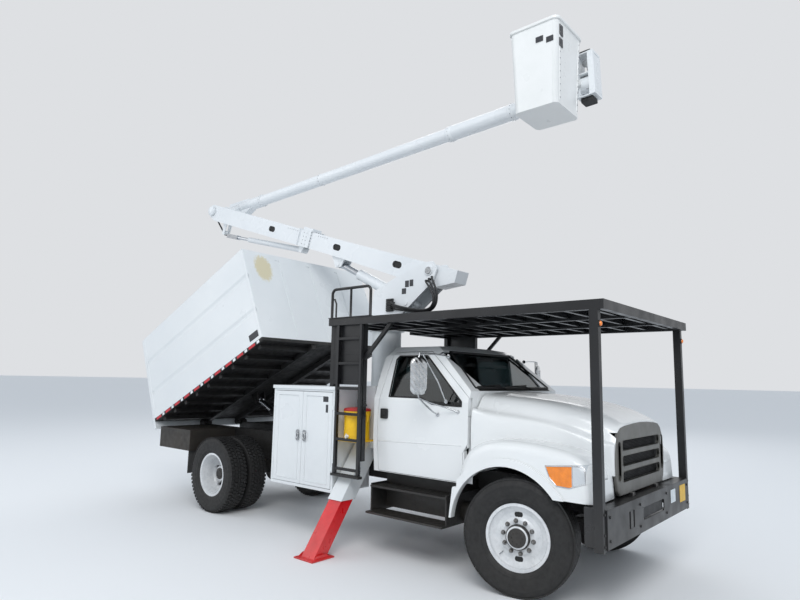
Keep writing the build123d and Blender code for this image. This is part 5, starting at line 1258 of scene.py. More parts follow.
@dataclass
class Grille:
    """Grey surround with three wide slots and an oval in each cheek, and dark mesh behind."""

    nose: float = 790.0
    slots: Point = (1075, 1215, 1355)
    outline: tuple[Pair, ...] = (
        (600, 912), (655, 960), (684, 1080), (692, 1200), (684, 1300), (655, 1400), (606, 1478),
        (540, 1516), (420, 1532), (210, 1545), (0, 1550))
    lug: float = 340.0

    # Louvre section: behind the nose, and up
    LOUVRE = ((34, 0), (25, 2), (25, 6), (34, 5))

    def screen(self) -> None:
        """Dark expanded mesh behind the slots, which tilts with the hood."""
        mesh = Mesh()
        for slot in self.slots:
            for k in range(5):
                low = slot - 37 + k * 13.5
                mesh.skin([[at(self.nose - back, y, low + up) for back, up in self.LOUVRE]
                           for y in (-515, 515)])
        for y in range(-510, 511, 30):
            mesh.box(at(self.nose - 38, y - 1.6, 1030), at(self.nose - 34, y + 1.6, 1390))
        mesh.box(at(self.nose - 46, -638, 1000), at(self.nose - 40, 638, 1420))
        mesh.finish("grille_mesh", "hood", GRILLE_DARK, bevel=0.5)

    def ring(self, ahead: float, inset: float) -> list[Vector]:
        """The surround's outline at one station, drawn in by inset.

        Args:
            ahead: Millimetres ahead of the nose.
            inset: How far it is drawn in.

        Returns:
            The points.
        """
        half = [(y - inset, z - inset * (1 if z > 1200 else -1) * 0.8) for y, z in self.outline]
        both = half + [(-y, z) for y, z in reversed(half[:-1])]
        return [at(self.nose + ahead, y, z) for y, z in both]

    def surround(self) -> None:
        """The surround, its bars and the hinge lugs below it."""
        mesh = Mesh()
        front = self.nose + 12
        holes = [rounded(at(front, 0, z), ACROSS, UP, (1060, 92, 30), 8) for z in self.slots]
        holes += [rounded(at(front, side * 608, 1222), ACROSS, UP, (84, 350, 41.9), 10)
                  for side in (-1, 1)]
        mesh.plate(self.ring(12, 12), holes, -AHEAD * 0.03)
        mesh.skin([self.ring(*station) for station in ((-18, 2), (4, 2), (10, 7), (12, 12))],
                  caps=False)
        for hole in holes:
            centre = sum(hole, Vector()) / len(hole)
            mesh.skin([[p + (p - centre).normalized() * 0.007 + AHEAD * 0.0005 for p in hole],
                       [p + AHEAD * 0.006 for p in hole], [p - AHEAD * 0.02 for p in hole]],
                      caps=False)
        for y in (-self.lug, self.lug):
            mesh.box(at(self.nose - 20, y - 14, 889), at(self.nose + 40, y + 14, 921))
        piece = mesh.finish("grille_surround", "hood", GRILLE_GREY, bevel=2.0, smooth=40,
                            slot="grille_grey")
        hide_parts("grille")

    def build(self) -> None:
        """Builds the mesh and the surround."""
        self.screen()
        self.surround()


@dataclass
class LampRims:
    """Bright rims that follow the headlamps' curved lenses, with the bar between the halves."""

    outline: tuple[Pair, ...] = (
        (338, 1183), (704, 1217), (704, 1066), (660, 1056), (560, 1018), (440, 1024), (374, 1090))
    divider: float = 588.0
    reach: float = 1140.0
    bar: tuple[float, ...] = (1034, 1080, 1120, 1160, 1204)

    def build(self) -> None:
        """Lays the rims on the lenses."""
        line = fine([at(x, 0, z) for x, z in self.outline], 0.025)
        for hand, way in SIDES:
            out = ACROSS * way * self.reach * MM
            mesh = Mesh()
            mesh.hoop([on_skin("headlamps", p + out) for p in line], 0.0058)
            mesh.tube([on_skin("headlamps", at(self.divider, 0, z) + out) for z in self.bar],
                      0.0045, 8)
            mesh.finish(f"lamp_rim_{hand}", "hood", LAMP_CHROME, smooth=60)


@dataclass
class FrontEnd:
    """Marker lamps on the guard's posts and the bumper's blank plates and bolts."""

    face: float = 902.0
    post_face: float = 888.0
    post: float = 1209.0
    marker_z: float = 2424.0

    RING = ((-0.001, 0), (-0.001, 0.029), (0.008, 0.029), (0.011, 0.025), (0.006, 0.023),
            (0.006, 0))
    LENS = ((0.006, 0.0232), (0.015, 0.021), (0.022, 0.014), (0.025, 0))
    PLATES = (("pale", (530, 712), (690, 842), PLATE_PALE),
              ("yellow", (850, 676), (1050, 850), PLATE_YELLOW))

    def markers(self) -> None:
        """Amber markers in rubber rings."""
        for hand, way in SIDES:
            middle = at(self.post_face, way * self.post, self.marker_z)
            for name, profile, finish in (("ring", self.RING, SEAL_BLACK),
                                          ("lens", self.LENS, LAMP_AMBER)):
                mesh = Mesh()
                mesh.lathe(profile, middle, AHEAD, 32)
                mesh.finish(f"marker_{name}_{hand}", "chassis", finish, smooth=60)

    def bumper(self) -> None:
        """Two blank plates near the bumper's left end, its bolts and the back of its opening."""
        for name, (y0, z0), (y1, z1), finish in self.PLATES:
            mesh = Mesh()
            mesh.pad(at(self.face, (y0 + y1) / 2, (z0 + z1) / 2), ACROSS, UP,
                     (y1 - y0, z1 - z0, 8), AHEAD * 0.002)
            mesh.finish(f"bumper_plate_{name}", "chassis", finish, bevel=0.6)
        bolts, recess = Mesh(), Mesh()
        bolts.hexes([at(self.face, y, z) for y in (-1120, -390, 390, 1120) for z in (640, 830)],
                    AHEAD, 0.024, 0.009)
        bolts.hexes([at(self.post_face, way * self.post, z) for _, way in SIDES
                     for z in (610, 700, 860)], AHEAD, 0.02, 0.008)
        bolts.finish("bumper_bolts", "chassis", GUARD_BLACK, bevel=1.0)
        recess.box(at(self.face - 20, -300, 688), at(self.face - 14, 300, 782))
        recess.finish("bumper_opening_back", "chassis", GRILLE_DARK, bevel=1.0)

    def build(self) -> None:
        """Builds the markers and the bumper's fittings."""
        self.markers()
        self.bumper()


@dataclass
class CabInside:
    """Bench with padded cushions, dashboard, steering column and wheel."""

    cushion_half: float = 0.785
    channels: int = 6
    steps: tuple[int, int] = (72, 20)
    wheel_middle: Point = (-1010.0, 400.0, 1640.0)
    wheel_radius: float = 0.208

    # Side views of the bench's base, of the dashboard and of a rib of the mat
    BASE = ((-1780, 1045), (-1250, 1045), (-1230, 1260), (-1600, 1240), (-1690, 1300),
            (-1745, 1900), (-1780, 1900))
    DASH = ((-618, 1300), (-800, 1310), (-838, 1420), (-858, 1560), (-838, 1632), (-800, 1668),
            (-740, 1698), (-618, 1716))
    RIB = ((0, 1041), (4, 1047), (16, 1047), (20, 1041))
    GAUGE = ((0, 0.048), (0.008, 0.048), (0.01, 0.044), (0.004, 0.042), (0.004, 0))
    BOSS = ((-0.03, 0), (-0.03, 0.045), (0.0, 0.058), (0.012, 0.05), (0.016, 0.02), (0.016, 0))
    COLUMN = ((0.0, 0.024), (0.0, 0.03), (0.11, 0.034), (0.12, 0.045), (0.24, 0.05), (0.24, 0))

    def swell(self, u: float, v: float) -> float:
        """How high a cushion stands at a place on it.

        Args:
            u: Along it, from -1 to 1.
            v: Across it, from -1 to 1.

        Returns:
            The height as a share of its thickness.
        """
        crown = (1 - abs(u) ** 10) ** 0.5 * (1 - abs(v) ** 6) ** 0.5
        lines = (-1 + 2 * k / self.channels for k in range(1, self.channels))
        seam = sum(math.exp(-((u - line) / 0.012) ** 2) for line in lines)
        return 0.42 + 0.58 * crown * (1 - 0.16 * min(seam, 1.0)) - 0.05 * (v * v)

    def cushion(self, name: str, origin: Vector, wide: Vector, rise: Vector) -> None:
        """A padded cushion, crowned on top, with sewn channels across it.

        Args:
            name: The piece's name.
            origin: Middle of its underside.
            wide: Half its depth.
            rise: Its thickness.
        """
        mesh = Mesh()
        last_u, last_v = self.steps
        top, low = [], []
        for i in range(last_u + 1):
            u = -1 + 2 * i / last_u
            top.append([])
            low.append([])
            for j in range(last_v + 1):
                v = -1 + 2 * j / last_v
                pull = 1 - 0.02 * (1 - v * v) * abs(u) ** 8
                tuck = 1 - 0.03 * (1 - u * u) * abs(v) ** 8
                base = origin + ACROSS * self.cushion_half * (u * pull) + wide * (v * tuck)
                top[-1].append(base + rise * self.swell(u, v))
                low[-1].append(base + rise * (0.10 if abs(u) < 1 and abs(v) < 1 else 0.2))
        tops, lows = mesh.rows(top), mesh.rows(low)
        for grid, order in ((tops, 1), (lows, -1)):
            for a, b in zip(grid, grid[1:]):
                for j in range(last_v):
                    mesh.bm.faces.new((a[j], b[j], b[j + 1], a[j + 1])[::order])
        rim = ([(i, 0) for i in range(last_u)] + [(last_u, j) for j in range(last_v)]
               + [(i, last_v) for i in range(last_u, 0, -1)]
               + [(0, j) for j in range(last_v, 0, -1)])
        for (i, j), (m, n) in zip(rim, rim[1:] + rim[:1]):
            mesh.bm.faces.new((tops[i][j], lows[i][j], lows[m][n], tops[m][n]))
        piece = mesh.finish(name, "chassis", BENCH_VINYL, smooth=60, subdivide=1)

    def bench(self) -> None:
        """Seat and back cushions on a steel base."""
        base = Mesh()
        base.prism([at(x, 0, z) - ACROSS * 0.77 for x, z in self.BASE], ACROSS * 1.54)
        base.finish("bench_base", "chassis", CAB_TRIM, bevel=8.0, segments=3)
        self.cushion("bench_seat", at(-1440, 0, 1246), AHEAD * 0.26, UP * 0.155)
        lean = (AHEAD * -0.16 + UP * 0.98).normalized()
        face = (AHEAD * 0.98 + UP * 0.16).normalized()
        self.cushion("bench_back", at(-1722, 0, 1640), lean * 0.3, face * 0.13)

    def dash(self) -> None:
        """Dashboard with its hood, vents and gauges."""
        mesh = Mesh()
        rows = []
        for y in (-845, -400, 0, 170, 210, 400, 600, 640, 845):
            lift = 18.0 if 200 < y < 620 else 0.0
            rows.append([at(x - (lift if x < -700 else 0), y, z + (lift if z > 1600 else 0))
                         for x, z in self.DASH])
        mesh.skin(rows)
        for y in (-700, -90, 90, 740):
            mesh.pad(at(-862, y, 1580), ACROSS, UP, (110, 60, 10), -AHEAD * 0.006)
        for y in (320, 480):
            mesh.lathe(self.GAUGE, at(-874, y, 1600), -AHEAD, 32)
        dash = mesh.finish("dashboard", "chassis", CAB_TRIM, bevel=5.0, segments=3, smooth=50)
        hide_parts("cab_interior")

    def wheel(self) -> None:
        """Steering wheel with four spokes, on its column."""
        mesh = Mesh()
        middle = at(*self.wheel_middle)
        axis = Vector((-0.873, 0, 0.489)).normalized()
        lift = axis.cross(ACROSS)
        mesh.hoop(circle(middle, ACROSS, lift, self.wheel_radius, 72), 0.0135, 12)
        for degrees in (40, 140, 220, 320):
            a = math.radians(degrees)
            spoke = ACROSS * math.cos(a) + lift * math.sin(a)
            mesh.tube([middle + spoke * 0.04, middle + spoke * 0.13 - axis * 0.004,
                       middle + spoke * 0.2], 0.0095, 10)
        mesh.lathe(self.BOSS, middle, axis, 40)
        mesh.lathe(self.COLUMN, middle, -axis, 32)
        mesh.finish("steering_wheel", "chassis", CAB_TRIM, smooth=60)

    def floor(self) -> None:
        """Ribbed mat on the floor and three pedals."""
        mesh = Mesh()
        for k in range(18):
            mesh.skin([[at(-1190 + k * 30 + dx, y, z) for dx, z in self.RIB] for y in (-760, 760)])
        tread = (UP + AHEAD * 0.6).normalized()
        for y in (270, 400, 520):
            mesh.pad(at(-720, y, 1190), ACROSS, tread, (70, 96, 12), AHEAD * 0.012)
            mesh.tube([at(-712, y, 1190), at(-690, y, 1290), at(-640, y, 1330)], 0.009, 8)
        mesh.finish("floor_mat_and_pedals", "chassis", SEAL_BLACK, bevel=1.0)

    def build(self) -> None:
        """Builds the cab's inside."""
        self.bench()
        self.dash()
        self.wheel()
        self.floor()


# ---------------------------------------------------------------- work bodies


@dataclass
class ToolBoxes:
    """Latches, blank plates and lid beads of the tool boxes, and the cabinet's slots."""

    face: float = 1221.0
    bottom: float = 645.0
    top: float = 1752.0
    lid_z: float = 1786.0

    # Each leaf's latch, and its rear and front edge
    LEAVES = {"front": (-2808.0, -2867.5, -2341.0), "rear": (-2933.0, -3400.0, -2873.5)}

    def leaf(self, hand: str, way: int, end: str) -> None:
        """One door's paddle latch with its folding ring in a dish, and its folded bead.

        Args:
            hand: Right or left.
            way: Which way that is.
            end: Front or rear leaf.
        """
        body = f"toolbox_door_{hand}_{end}"
        x, low, high = self.LEAVES[end]
        out = ACROSS * way
        dish, ring, bead = Mesh(), Mesh(), Mesh()
        dish.pad(at(x, way * (self.face + 12.5), 1220), AHEAD, UP, (66, 134, 26), out * 0.003)
        dish.hexes([at(x + dx, way * (self.face + 15.5), z) for dx in (-22, 22)
                    for z in (1172, 1268)], out, 0.008, 0.003)
        dish.finish(f"latch_dish_{hand}_{end}", body, ZINC, bevel=1.5)
        ring.hoop(circle(at(x, way * (self.face + 22), 1216), AHEAD * 20, UP * 34, MM, 24), 0.0042)
        ring.lathe([(0, 0), (0, 0.012), (0.009, 0.012), (0.012, 0.009), (0.012, 0)],
                   at(x, way * (self.face + 15), 1250), out, 20)
        ring.finish(f"latch_ring_{hand}_{end}", body, LAMP_CHROME, smooth=60)
        middle = at((low + high) / 2, way * (self.face + 0.5), (self.bottom + self.top) / 2)
        size = (high - low - 128, self.top - self.bottom - 88, 20)
        bead.hoop(fine(rounded(middle, AHEAD, UP, size), 0.04), 0.005)
        bead.finish(f"leaf_bead_{hand}_{end}", body, BODY_ENAMEL, smooth=60)

    def plates(self) -> None:
        """Two small dark plates, left blank, on the right front leaf."""
        mesh = Mesh()
        for x, z, w in ((-2462, 1684, 92), (-2416, 1560, 84)):
            mesh.pad(at(x, -1216.2, z), AHEAD, UP, (w, 92, 5), -ACROSS * 0.0018)
        mesh.finish("leaf_plates", "toolbox_door_right_front", PLATE_DARK, bevel=0.5)

    def lid(self) -> None:
        """Drip bead along each cabinet's lid, and two slots in the cross cabinet."""
        for hand, way in SIDES:
            mesh = Mesh()
            mesh.tube([at(x, way * y, self.lid_z) for x, y in (
                (-3425, 1231.5), (-2302, 1231.5), (-2297, 1226), (-2297, 640))], 0.0045, 8)
            mesh.finish(f"lid_bead_{hand}", "chassis", BODY_ENAMEL, smooth=60)
        slots = Mesh()
        for x, z, w in ((-2178, 1742, 74), (-2150, 1606, 60)):
            slots.pad(at(x, -860.2, z), AHEAD, UP, (w, 26, 12), -ACROSS * 0.0015)
        slots.finish("cabinet_slots", "chassis", SEAL_BLACK, bevel=0.4)

    def build(self) -> None:
        """Builds the latches, beads, plates and slots."""
        for hand, way in SIDES:
            for end in self.LEAVES:
                self.leaf(hand, way, end)
        self.plates()
        self.lid()


@dataclass
class LadderStep:
    """Sprung lowest step, its chains, and grip bars on the rungs."""

    rails: Pair = (-2270.0, -1897.0)
    y: float = -1219.0
    rungs: tuple[float, ...] = (880, 1210, 1500, 1790, 2080, 2370)

    def slab(self, mesh: Mesh, low: Point, high: Point) -> None:
        """A box whose y is measured from the ladder's middle."""
        mesh.box(at(low[0], self.y + low[1], low[2]), at(high[0], self.y + high[1], high[2]))

    def build(self) -> None:
        """Builds the step, its chains, the grips and the inner hand rail."""
        step, chain, grips, rail = Mesh(), Mesh(), Mesh(), Mesh()
        rear, front = self.rails
        low, high = rear - 42, front + 38
        step.pad(at((low + high) / 2, self.y, 812), AHEAD, ACROSS, (high - low, 74, 10), UP * 0.026)
        for k in range(11):
            x = low + 30 + k * (high - low - 60) / 10
            self.slab(step, (x - 4, -32, 838), (x + 4, 32, 841.5))
        step.finish("ladder_sprung_step", "chassis", STEP_PLATE, bevel=1.5)
        for x in (low + 12, high - 12):
            for k in range(4):
                across = ACROSS if k % 2 else AHEAD
                chain.hoop(circle(at(x, self.y, 852 + k * 24.5), across * 9, UP * 15.5, MM, 14),
                           0.0032, 6)
            self.slab(chain, (x - 5, -8, 930), (x + 5, 8, 942))
        chain.finish("ladder_step_chains", "chassis", CHAIN_STEEL, smooth=60)
        for z in self.rungs:
            for k in range(9):
                x = rear + 40 + k * 36.5
                self.slab(grips, (x - 3, -13, z + 30), (x + 3, 13, z + 32.5))
        grips.finish("ladder_rung_grips", "chassis", GUARD_BLACK, bevel=0.6)
        rail.tube([at(x, self.y + 6, z) for x, z in ((-2340, 2648), (-2340, 2810), (-2372, 2870))],
                  0.011, 12)
        rail.finish("hand_rail_inner", "chassis", GUARD_BLACK, smooth=60)


@dataclass
class CoolerLid:
    """Red lid, the white tap, and the bands and handles of the water cooler."""

    x: float = -2105.0
    y: float = -1040.0
    band: float = 150.5

    LID = ((0.546, 0.159), (0.560, 0.160), (0.574, 0.152), (0.584, 0.11), (0.590, 0.05),
           (0.591, 0))
    TAP = ((0, 0.02), (0.016, 0.02), (0.018, 0.012), (0.036, 0.012), (0.038, 0))

    def place(self, dx: float, dy: float, z: float) -> Vector:
        """A place measured from the cooler's own axis."""
        return at(self.x + dx, self.y + dy, z)

    def build(self) -> None:
        """Builds the lid, the tap and the bands."""
        lid, tap, bands = Mesh(), Mesh(), Mesh()
        lid.lathe(self.LID, self.place(0, 0, 1000), UP, 64)
        lid.finish("cooler_lid", "chassis", COOLER_RED, smooth=50)
        tap.lathe(self.TAP, self.place(0, -150, 1262), -ACROSS, 24)
        tap.tube([self.place(0, -178, 1264), self.place(0, -178, 1238)], 0.009, 12)
        tap.tube([self.place(0, -172, 1268), self.place(0, -176, 1292)], 0.006, 10)
        tap.finish("cooler_tap", "chassis", LINER_WHITE, smooth=60)
        inner, outer = self.band * MM, (self.band + 3) * MM
        for z in (1232, 1476):
            bands.lathe([(-0.006, inner), (-0.003, outer), (0.003, outer), (0.006, inner)],
                        self.place(0, 0, z), UP, 64, closed=True)
        for side in (-1, 1):
            bands.tube([self.place(side * dx, 0, z) for dx, z in (
                (150, 1420), (172, 1440), (172, 1500), (154, 1520))], 0.007, 10)
        bands.finish("cooler_bands", "chassis", COOLER_YELLOW, smooth=60)


@dataclass
class ChipBody:
    """Tape, plate, corner posts, rivets and latch bars of the chip body."""

    half: float = 1219.0
    front: float = 2955.0
    rear: float = -60.0
    floor_low: float = 80.0
    floor_high: float = 130.0
    top: float = 1530.0
    tape_pitch: float = 292.0

    # Each tape's finish, where its dash starts in the pitch, and its length
    TAPES = (("red", TAPE_RED, 0.0, 150.0), ("white", TAPE_WHITE, 191.0, 60.0))
    RIVET = ((0, 0), (0, 0.007), (0.002, 0.0062), (0.0036, 0.0035), (0.004, 0))

    def tape(self) -> None:
        """Red and white reflecting tape in dashes along both lower rails."""
        low, high = self.floor_low + 6, self.floor_high - 6
        for name, finish, lead, length in self.TAPES:
            mesh = Mesh()
            for _, way in SIDES:
                for k in range(10):
                    start = self.rear + 60 + k * self.tape_pitch + lead
                    end = start + length
                    mesh.prism([BED_AXES.place(along, way * (self.half + 0.3), up)
                                for along, up in ((start, low), (end, low), (end, high),
                                                  (start, high))], ACROSS * way * 0.0009)
            mesh.finish(f"rail_tape_{name}", "bed", finish)

    def plate(self) -> None:
        """Dark blank plate low at the front corner of the right wall."""
        mesh = Mesh()
        mesh.pad(BED_AXES.place(2790, -self.half - 0.2, 225), BED_AXES.along, BED_AXES.square,
                 (210, 96, 8), -ACROSS * 0.002)
        mesh.finish("bed_plate", "bed", PLATE_DARK, bevel=0.5)

    def corners(self) -> None:
        """Folded corner posts and the capping along the top edges."""
        mesh = Mesh()
        for _, way in SIDES:
            for along in (self.rear + 22, self.front - 22):
                mesh.pad(BED_AXES.place(along, way * self.half, self.floor_high + 2),
                         BED_AXES.along, ACROSS, (44, 9, 4), BED_AXES.square * 1.398, 3)
        for y in (-self.half + 30, self.half - 30):
            mesh.pad(BED_AXES.place(self.rear + 4, y, self.top + 25), ACROSS, BED_AXES.square,
                     (60, 8, 3.5), BED_AXES.along * 3.006, 3)
        mesh.finish("bed_corner_posts", "bed", BODY_ENAMEL, bevel=1.0, smooth=50)

    def rivets(self) -> None:
        """Dome rivets along the seams of the side walls."""
        mesh = Mesh()
        for _, way in SIDES:
            for up in (self.floor_high + 30, self.top - 18):
                for k in range(24):
                    mesh.lathe(self.RIVET, BED_AXES.place(
                        self.rear + 60 + k * 125, way * self.half, up), ACROSS * way, 10)
        mesh.finish("bed_rivets", "bed", BODY_ENAMEL, smooth=60)

    def gate(self) -> None:
        """Latch bars of the tailgate, with their guides."""
        mesh = Mesh()
        for y in (-1050, 1050):
            mesh.tube([BED_AXES.place(along, y, up) for along, up in (
                (-113, 150), (-116, 400), (-116, 700))], 0.012, 10)
            for up in (180, 420, 680):
                mesh.pad(BED_AXES.place(-112.2, y, up), ACROSS, BED_AXES.square, (70, 40, 6),
                         -BED_AXES.along * 0.006)
        mesh.finish("gate_latch_bars", "tailgate", ZINC, bevel=1.0)

    def build(self) -> None:
        """Builds the body's trim."""
        self.tape()
        self.plate()
        self.corners()
        self.rivets()
        self.gate()


# ---------------------------------------------------------------- the lift


@dataclass
class TurretFittings:
    """Valve block with its coils, blank plates, and the hoses of the turret."""

    face: float = -165.0
    hose_mm: float = 25.0
    hose_gap: float = 28.0
    port_gap: float = 26.0

    def valves(self) -> None:
        """Black valve block with finned coils on the right side plate."""
        mesh = Mesh()
        for k in range(7):
            z = 2836 + k * 23
            mesh.box(at(-2440, self.face - 46, z), at(-2350, self.face - 0.2, z + 15))
        mesh.box(at(-2452, self.face - 26, 2826), at(-2336, self.face - 0.3, 3000))
        for k in range(6):
            mesh.lathe([(0, 0.008), (0.03, 0.008), (0.032, 0)],
                       at(-2352, self.face - 30, 2850 + k * 24), AHEAD, 10)
        mesh.finish("valve_block", "turret", VALVE_BLACK, bevel=2.0)

    def plates(self) -> None:
        """Three blank plates on the side plate."""
        mesh = Mesh()
        for x, z, w, h in ((-2110, 3180, 66, 88), (-2034, 3186, 62, 88), (-2160, 3086, 74, 76)):
            mesh.pad(at(x, self.face - 0.2, z), AHEAD, UP, (w, h, 4), -ACROSS * 0.002)
        mesh.finish("turret_plates", "turret", PLATE_DARK, bevel=0.5)

    def hoses(self) -> None:
        """Hydraulic hoses that loop from the shoulder down to the valve block."""
        for number in range(3):
            y, drop = self.face - 23 - self.hose_gap * number, self.port_gap * number
            path = smooth_path([at(*knot) for knot in (
                (-1690 - drop, self.face, 3230 - drop), (-1690 - drop, y + 6, 3226 - drop),
                (-1640 - drop * 0.6, y, 3130 - drop), (-1596 - drop * 0.4, y, 3000 - drop * 0.6),
                (-1616 - drop * 0.2, y, 2866), (-1720, y, 2792 + drop * 0.3),
                (-1950, y, 2800 + drop * 0.5), (-2230, y, 2840 + drop),
                (-2318, y + 4, 2860 + drop * 1.5), (-2326, self.face, 2864 + drop * 1.5))], 10)
            mesh = Mesh()
            mesh.tube(path, self.hose_mm / 2 * MM, 12)
            hose = mesh.finish(f"turret_hose_{number}", "turret", HOSE_RUBBER, smooth=60)
            length = sum((b - a).length for a, b in zip(path, path[1:]))
            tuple(path[0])

    def build(self) -> None:
        """Builds the turret's hard fittings; the hoses come first of all."""
        self.valves()
        self.plates()


@dataclass
class LowerBoom:
    """Painted shade plates in the access holes, bolts, chain and pin caps of the lower boom."""

    half: float = 125.0
    holes: tuple[Pair, ...] = ((3550, -24), (1862, -30), (595, -35))
    collar: Pair = (2511.0, 2802.0)
    chain_start: Pair = (2760.0, -222.0)
    chain_end: Pair = (5090.0, -375.0)
    elbow: float = 5502.0
    roller_radius: float = 40.0
    drum_radius: float = 112.0
    drop: float = 5.3
    link_pitch: float = 19.05

    def paint_hole_shade(self) -> None:
        """Black plates set in the access holes as painted shade of the hollow boom, with a black
        rim round each hole.
        """
        mesh = Mesh()
        along, square = LOWER_AXES.along, LOWER_AXES.square
        # Each plate sits just inside a hole and paints the shade of the boom's hollow; the hoop
        # rings the hole's edge.
        for run, up in self.holes:
            for _, way in SIDES:
                mesh.pad(LOWER_AXES.place(run, way * (self.half - 16), up), along, square,
                         (158, 82, 40), ACROSS * way * 0.006, 8)
                mesh.hoop(rounded(LOWER_AXES.place(run, way * (self.half - 1), up), along, square,
                                  (160, 84, 41.9), 10), 0.0045)
        mesh.finish("boom_hole_painted_shade", "lower_boom", SEAL_BLACK, smooth=50)

    def bolts(self) -> None:
        """Bolt rows of the collar, and small bolts along the boom's sides."""
        collar, side = Mesh(), Mesh()
        place = LOWER_AXES.place
        for along, face in ((self.collar[0] - 9, -1), (self.collar[1] + 9, 1)):
            places = [place(along, way * (self.half + 10), up)
                      for _, way in SIDES for up in range(-142, 96, 46)]
            places += [place(along, y, 102) for y in range(-96, 97, 48)]
            collar.hexes(places, LOWER_AXES.along * face, 0.014, 0.008)
        for along in (2620, 2690):
            collar.hexes([place(along, way * self.half, up)
                          for _, way in SIDES for up in (-120, -60, 0, 60)], -ACROSS, 0.012, 0.006)
        for start, count in ((2860, 6), (2120, 5)):
            for _, way in SIDES:
                side.hexes([place(start + 52 * k, way * self.half, 62) for k in range(count)],
                           ACROSS * way, 0.012, 0.006)
        collar.finish("collar_bolts", "lower_boom", ZINC, bevel=0.6)
        side.finish("boom_side_bolts", "lower_boom", ZINC, bevel=0.6)

    def chain_line(self) -> list[Vector]:
        """The chain's line in the boom's own axes.

        Returns:
            Its start at the cylinder's fork, its bend at the roller and its end at the drum.
        """
        start, end = (Vector((x, 0, z)) for x, z in (self.chain_start, self.chain_end))
        run = (end - start).normalized()
        down = Vector((run.z, 0, -run.x))
        roller = end - down * (self.roller_radius + self.drop)
        elbow = Vector((self.elbow, 0, 0))
        reach = elbow - roller
        lean = math.atan2(reach.z, reach.x) - math.asin(
            (self.drum_radius - self.roller_radius) / reach.length)
        out = Vector((math.sin(lean), 0, -math.cos(lean)))
        turn = (down + out).normalized()
        return [start + run * 1990,
                roller + turn * ((self.roller_radius + self.drop) / turn.dot(out)),
                elbow + out * (self.drum_radius + self.drop)]

    def chain(self) -> None:
        """Leaf chain from the cylinder's fork round its roller to the drum."""
        mesh = Mesh()
        path = self.chain_line()
        for a, b in zip(path, path[1:]):
            way = (b - a).normalized()
            across = Vector((-way.z, 0, way.x))
            count = int((b - a).length / self.link_pitch)
            for k in range(count):
                middle = a + way * ((k + 0.5) * (b - a).length / count)
                for row, y in enumerate(range(-16, 17, 4)):
                    centre = middle + way * (4.75 if row % 2 else 0.0)
                    mesh.prism([LOWER_AXES.place(q.x, y - 1.6, q.z) for q in circle(
                        centre, way * 8.8, across * 4.7, 1.0, 12)], ACROSS * 0.0032)
        piece = mesh.finish("elbow_leaf_chain", "lower_boom", CHAIN_STEEL, smooth=40)
        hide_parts("elbow_chain")

    def pins(self) -> None:
        """Keeper plates and grease caps on the shoulder's pin."""
        mesh = Mesh()
        for _, way in SIDES:
            place = at(LOWER_AXES.x, way * 180.2, LOWER_AXES.z)
            mesh.lathe([(0, 0), (0, 0.048), (0.006, 0.048), (0.009, 0.044), (0.009, 0.014),
                        (0.014, 0.012), (0.016, 0)], place, ACROSS * way, 32)
            mesh.hexes([place + (AHEAD * math.cos(a) + UP * math.sin(a)) * 0.033
                        for a in (0.5, 2.6, 4.7)], ACROSS * way, 0.013, 0.016)
        mesh.finish("shoulder_pin_caps", "turret", ZINC, bevel=0.8)

    def build(self) -> None:
        """Builds the boom's fittings."""
        self.paint_hole_shade()
        self.bolts()
        self.chain()
        self.pins()


@dataclass
class UpperBoom:
    """Sleeve bands and elbow caps of the upper boom."""

    y: float = 375.0
    rise: float = 139.0
    band_rise: float = 4.5

    # Where each sleeve starts and ends along the boom, and the tube's radius below it
    SLEEVES = ((5150, 5240, 105), (6140, 6220, 105), (250, 300, 107), (850, 900, 107),
               (2480, 2530, 95))
    DOME = ((0, 0.10), (0.008, 0.10), (0.018, 0.09), (0.03, 0.07), (0.04, 0.04), (0.043, 0))
    FLAT_DOME = ((0, 0.085), (0.008, 0.085), (0.02, 0.07), (0.03, 0.045), (0.034, 0))

    def sleeves(self) -> None:
        """White bands with their screws."""
        bands, screws = Mesh(), Mesh()
        spokes = circle(Vector(), ACROSS, UPPER_AXES.square, 1.0, 12)
        for low, high, radius in self.SLEEVES:
            long, foot = (high - low) * MM, radius * MM - 0.002
            crown = (radius + self.band_rise) * MM
            bands.lathe([(0, foot), (0, crown - 0.003), (0.003, crown), (long - 0.003, crown),
                         (long, crown - 0.003), (long, foot)],
                        UPPER_AXES.place(low, self.y, self.rise), UPPER_AXES.along, 64, closed=True)
            middle = UPPER_AXES.place((low + high) / 2, self.y, self.rise)
            for out in spokes:
                screws.hexes([middle + out * ((radius + 4.4) * MM)], out, 0.011, 0.005)
        bands.finish("upper_sleeves", "upper_boom", BOOM_ENAMEL, smooth=50)
        screws.finish("sleeve_screws", "upper_boom", ZINC, bevel=0.5)

    def elbow(self) -> None:
        """Domed caps on the elbow's shaft and the bolts of its casting."""
        mesh = Mesh()
        right, left = (at(UPPER_AXES.x, y, UPPER_AXES.z) for y in (-167.2, 450.2))
        mesh.lathe(self.DOME, left, ACROSS, 48)
        mesh.hexes(circle(left, AHEAD, UP, 0.125, 10), ACROSS, 0.019, 0.01)
        mesh.lathe(self.FLAT_DOME, right, -ACROSS, 48)
        mesh.finish("elbow_caps", "upper_boom", BOOM_ENAMEL, bevel=0.8, smooth=50)

    def build(self) -> None:
        """Builds the bands and caps."""
        self.sleeves()
        self.elbow()


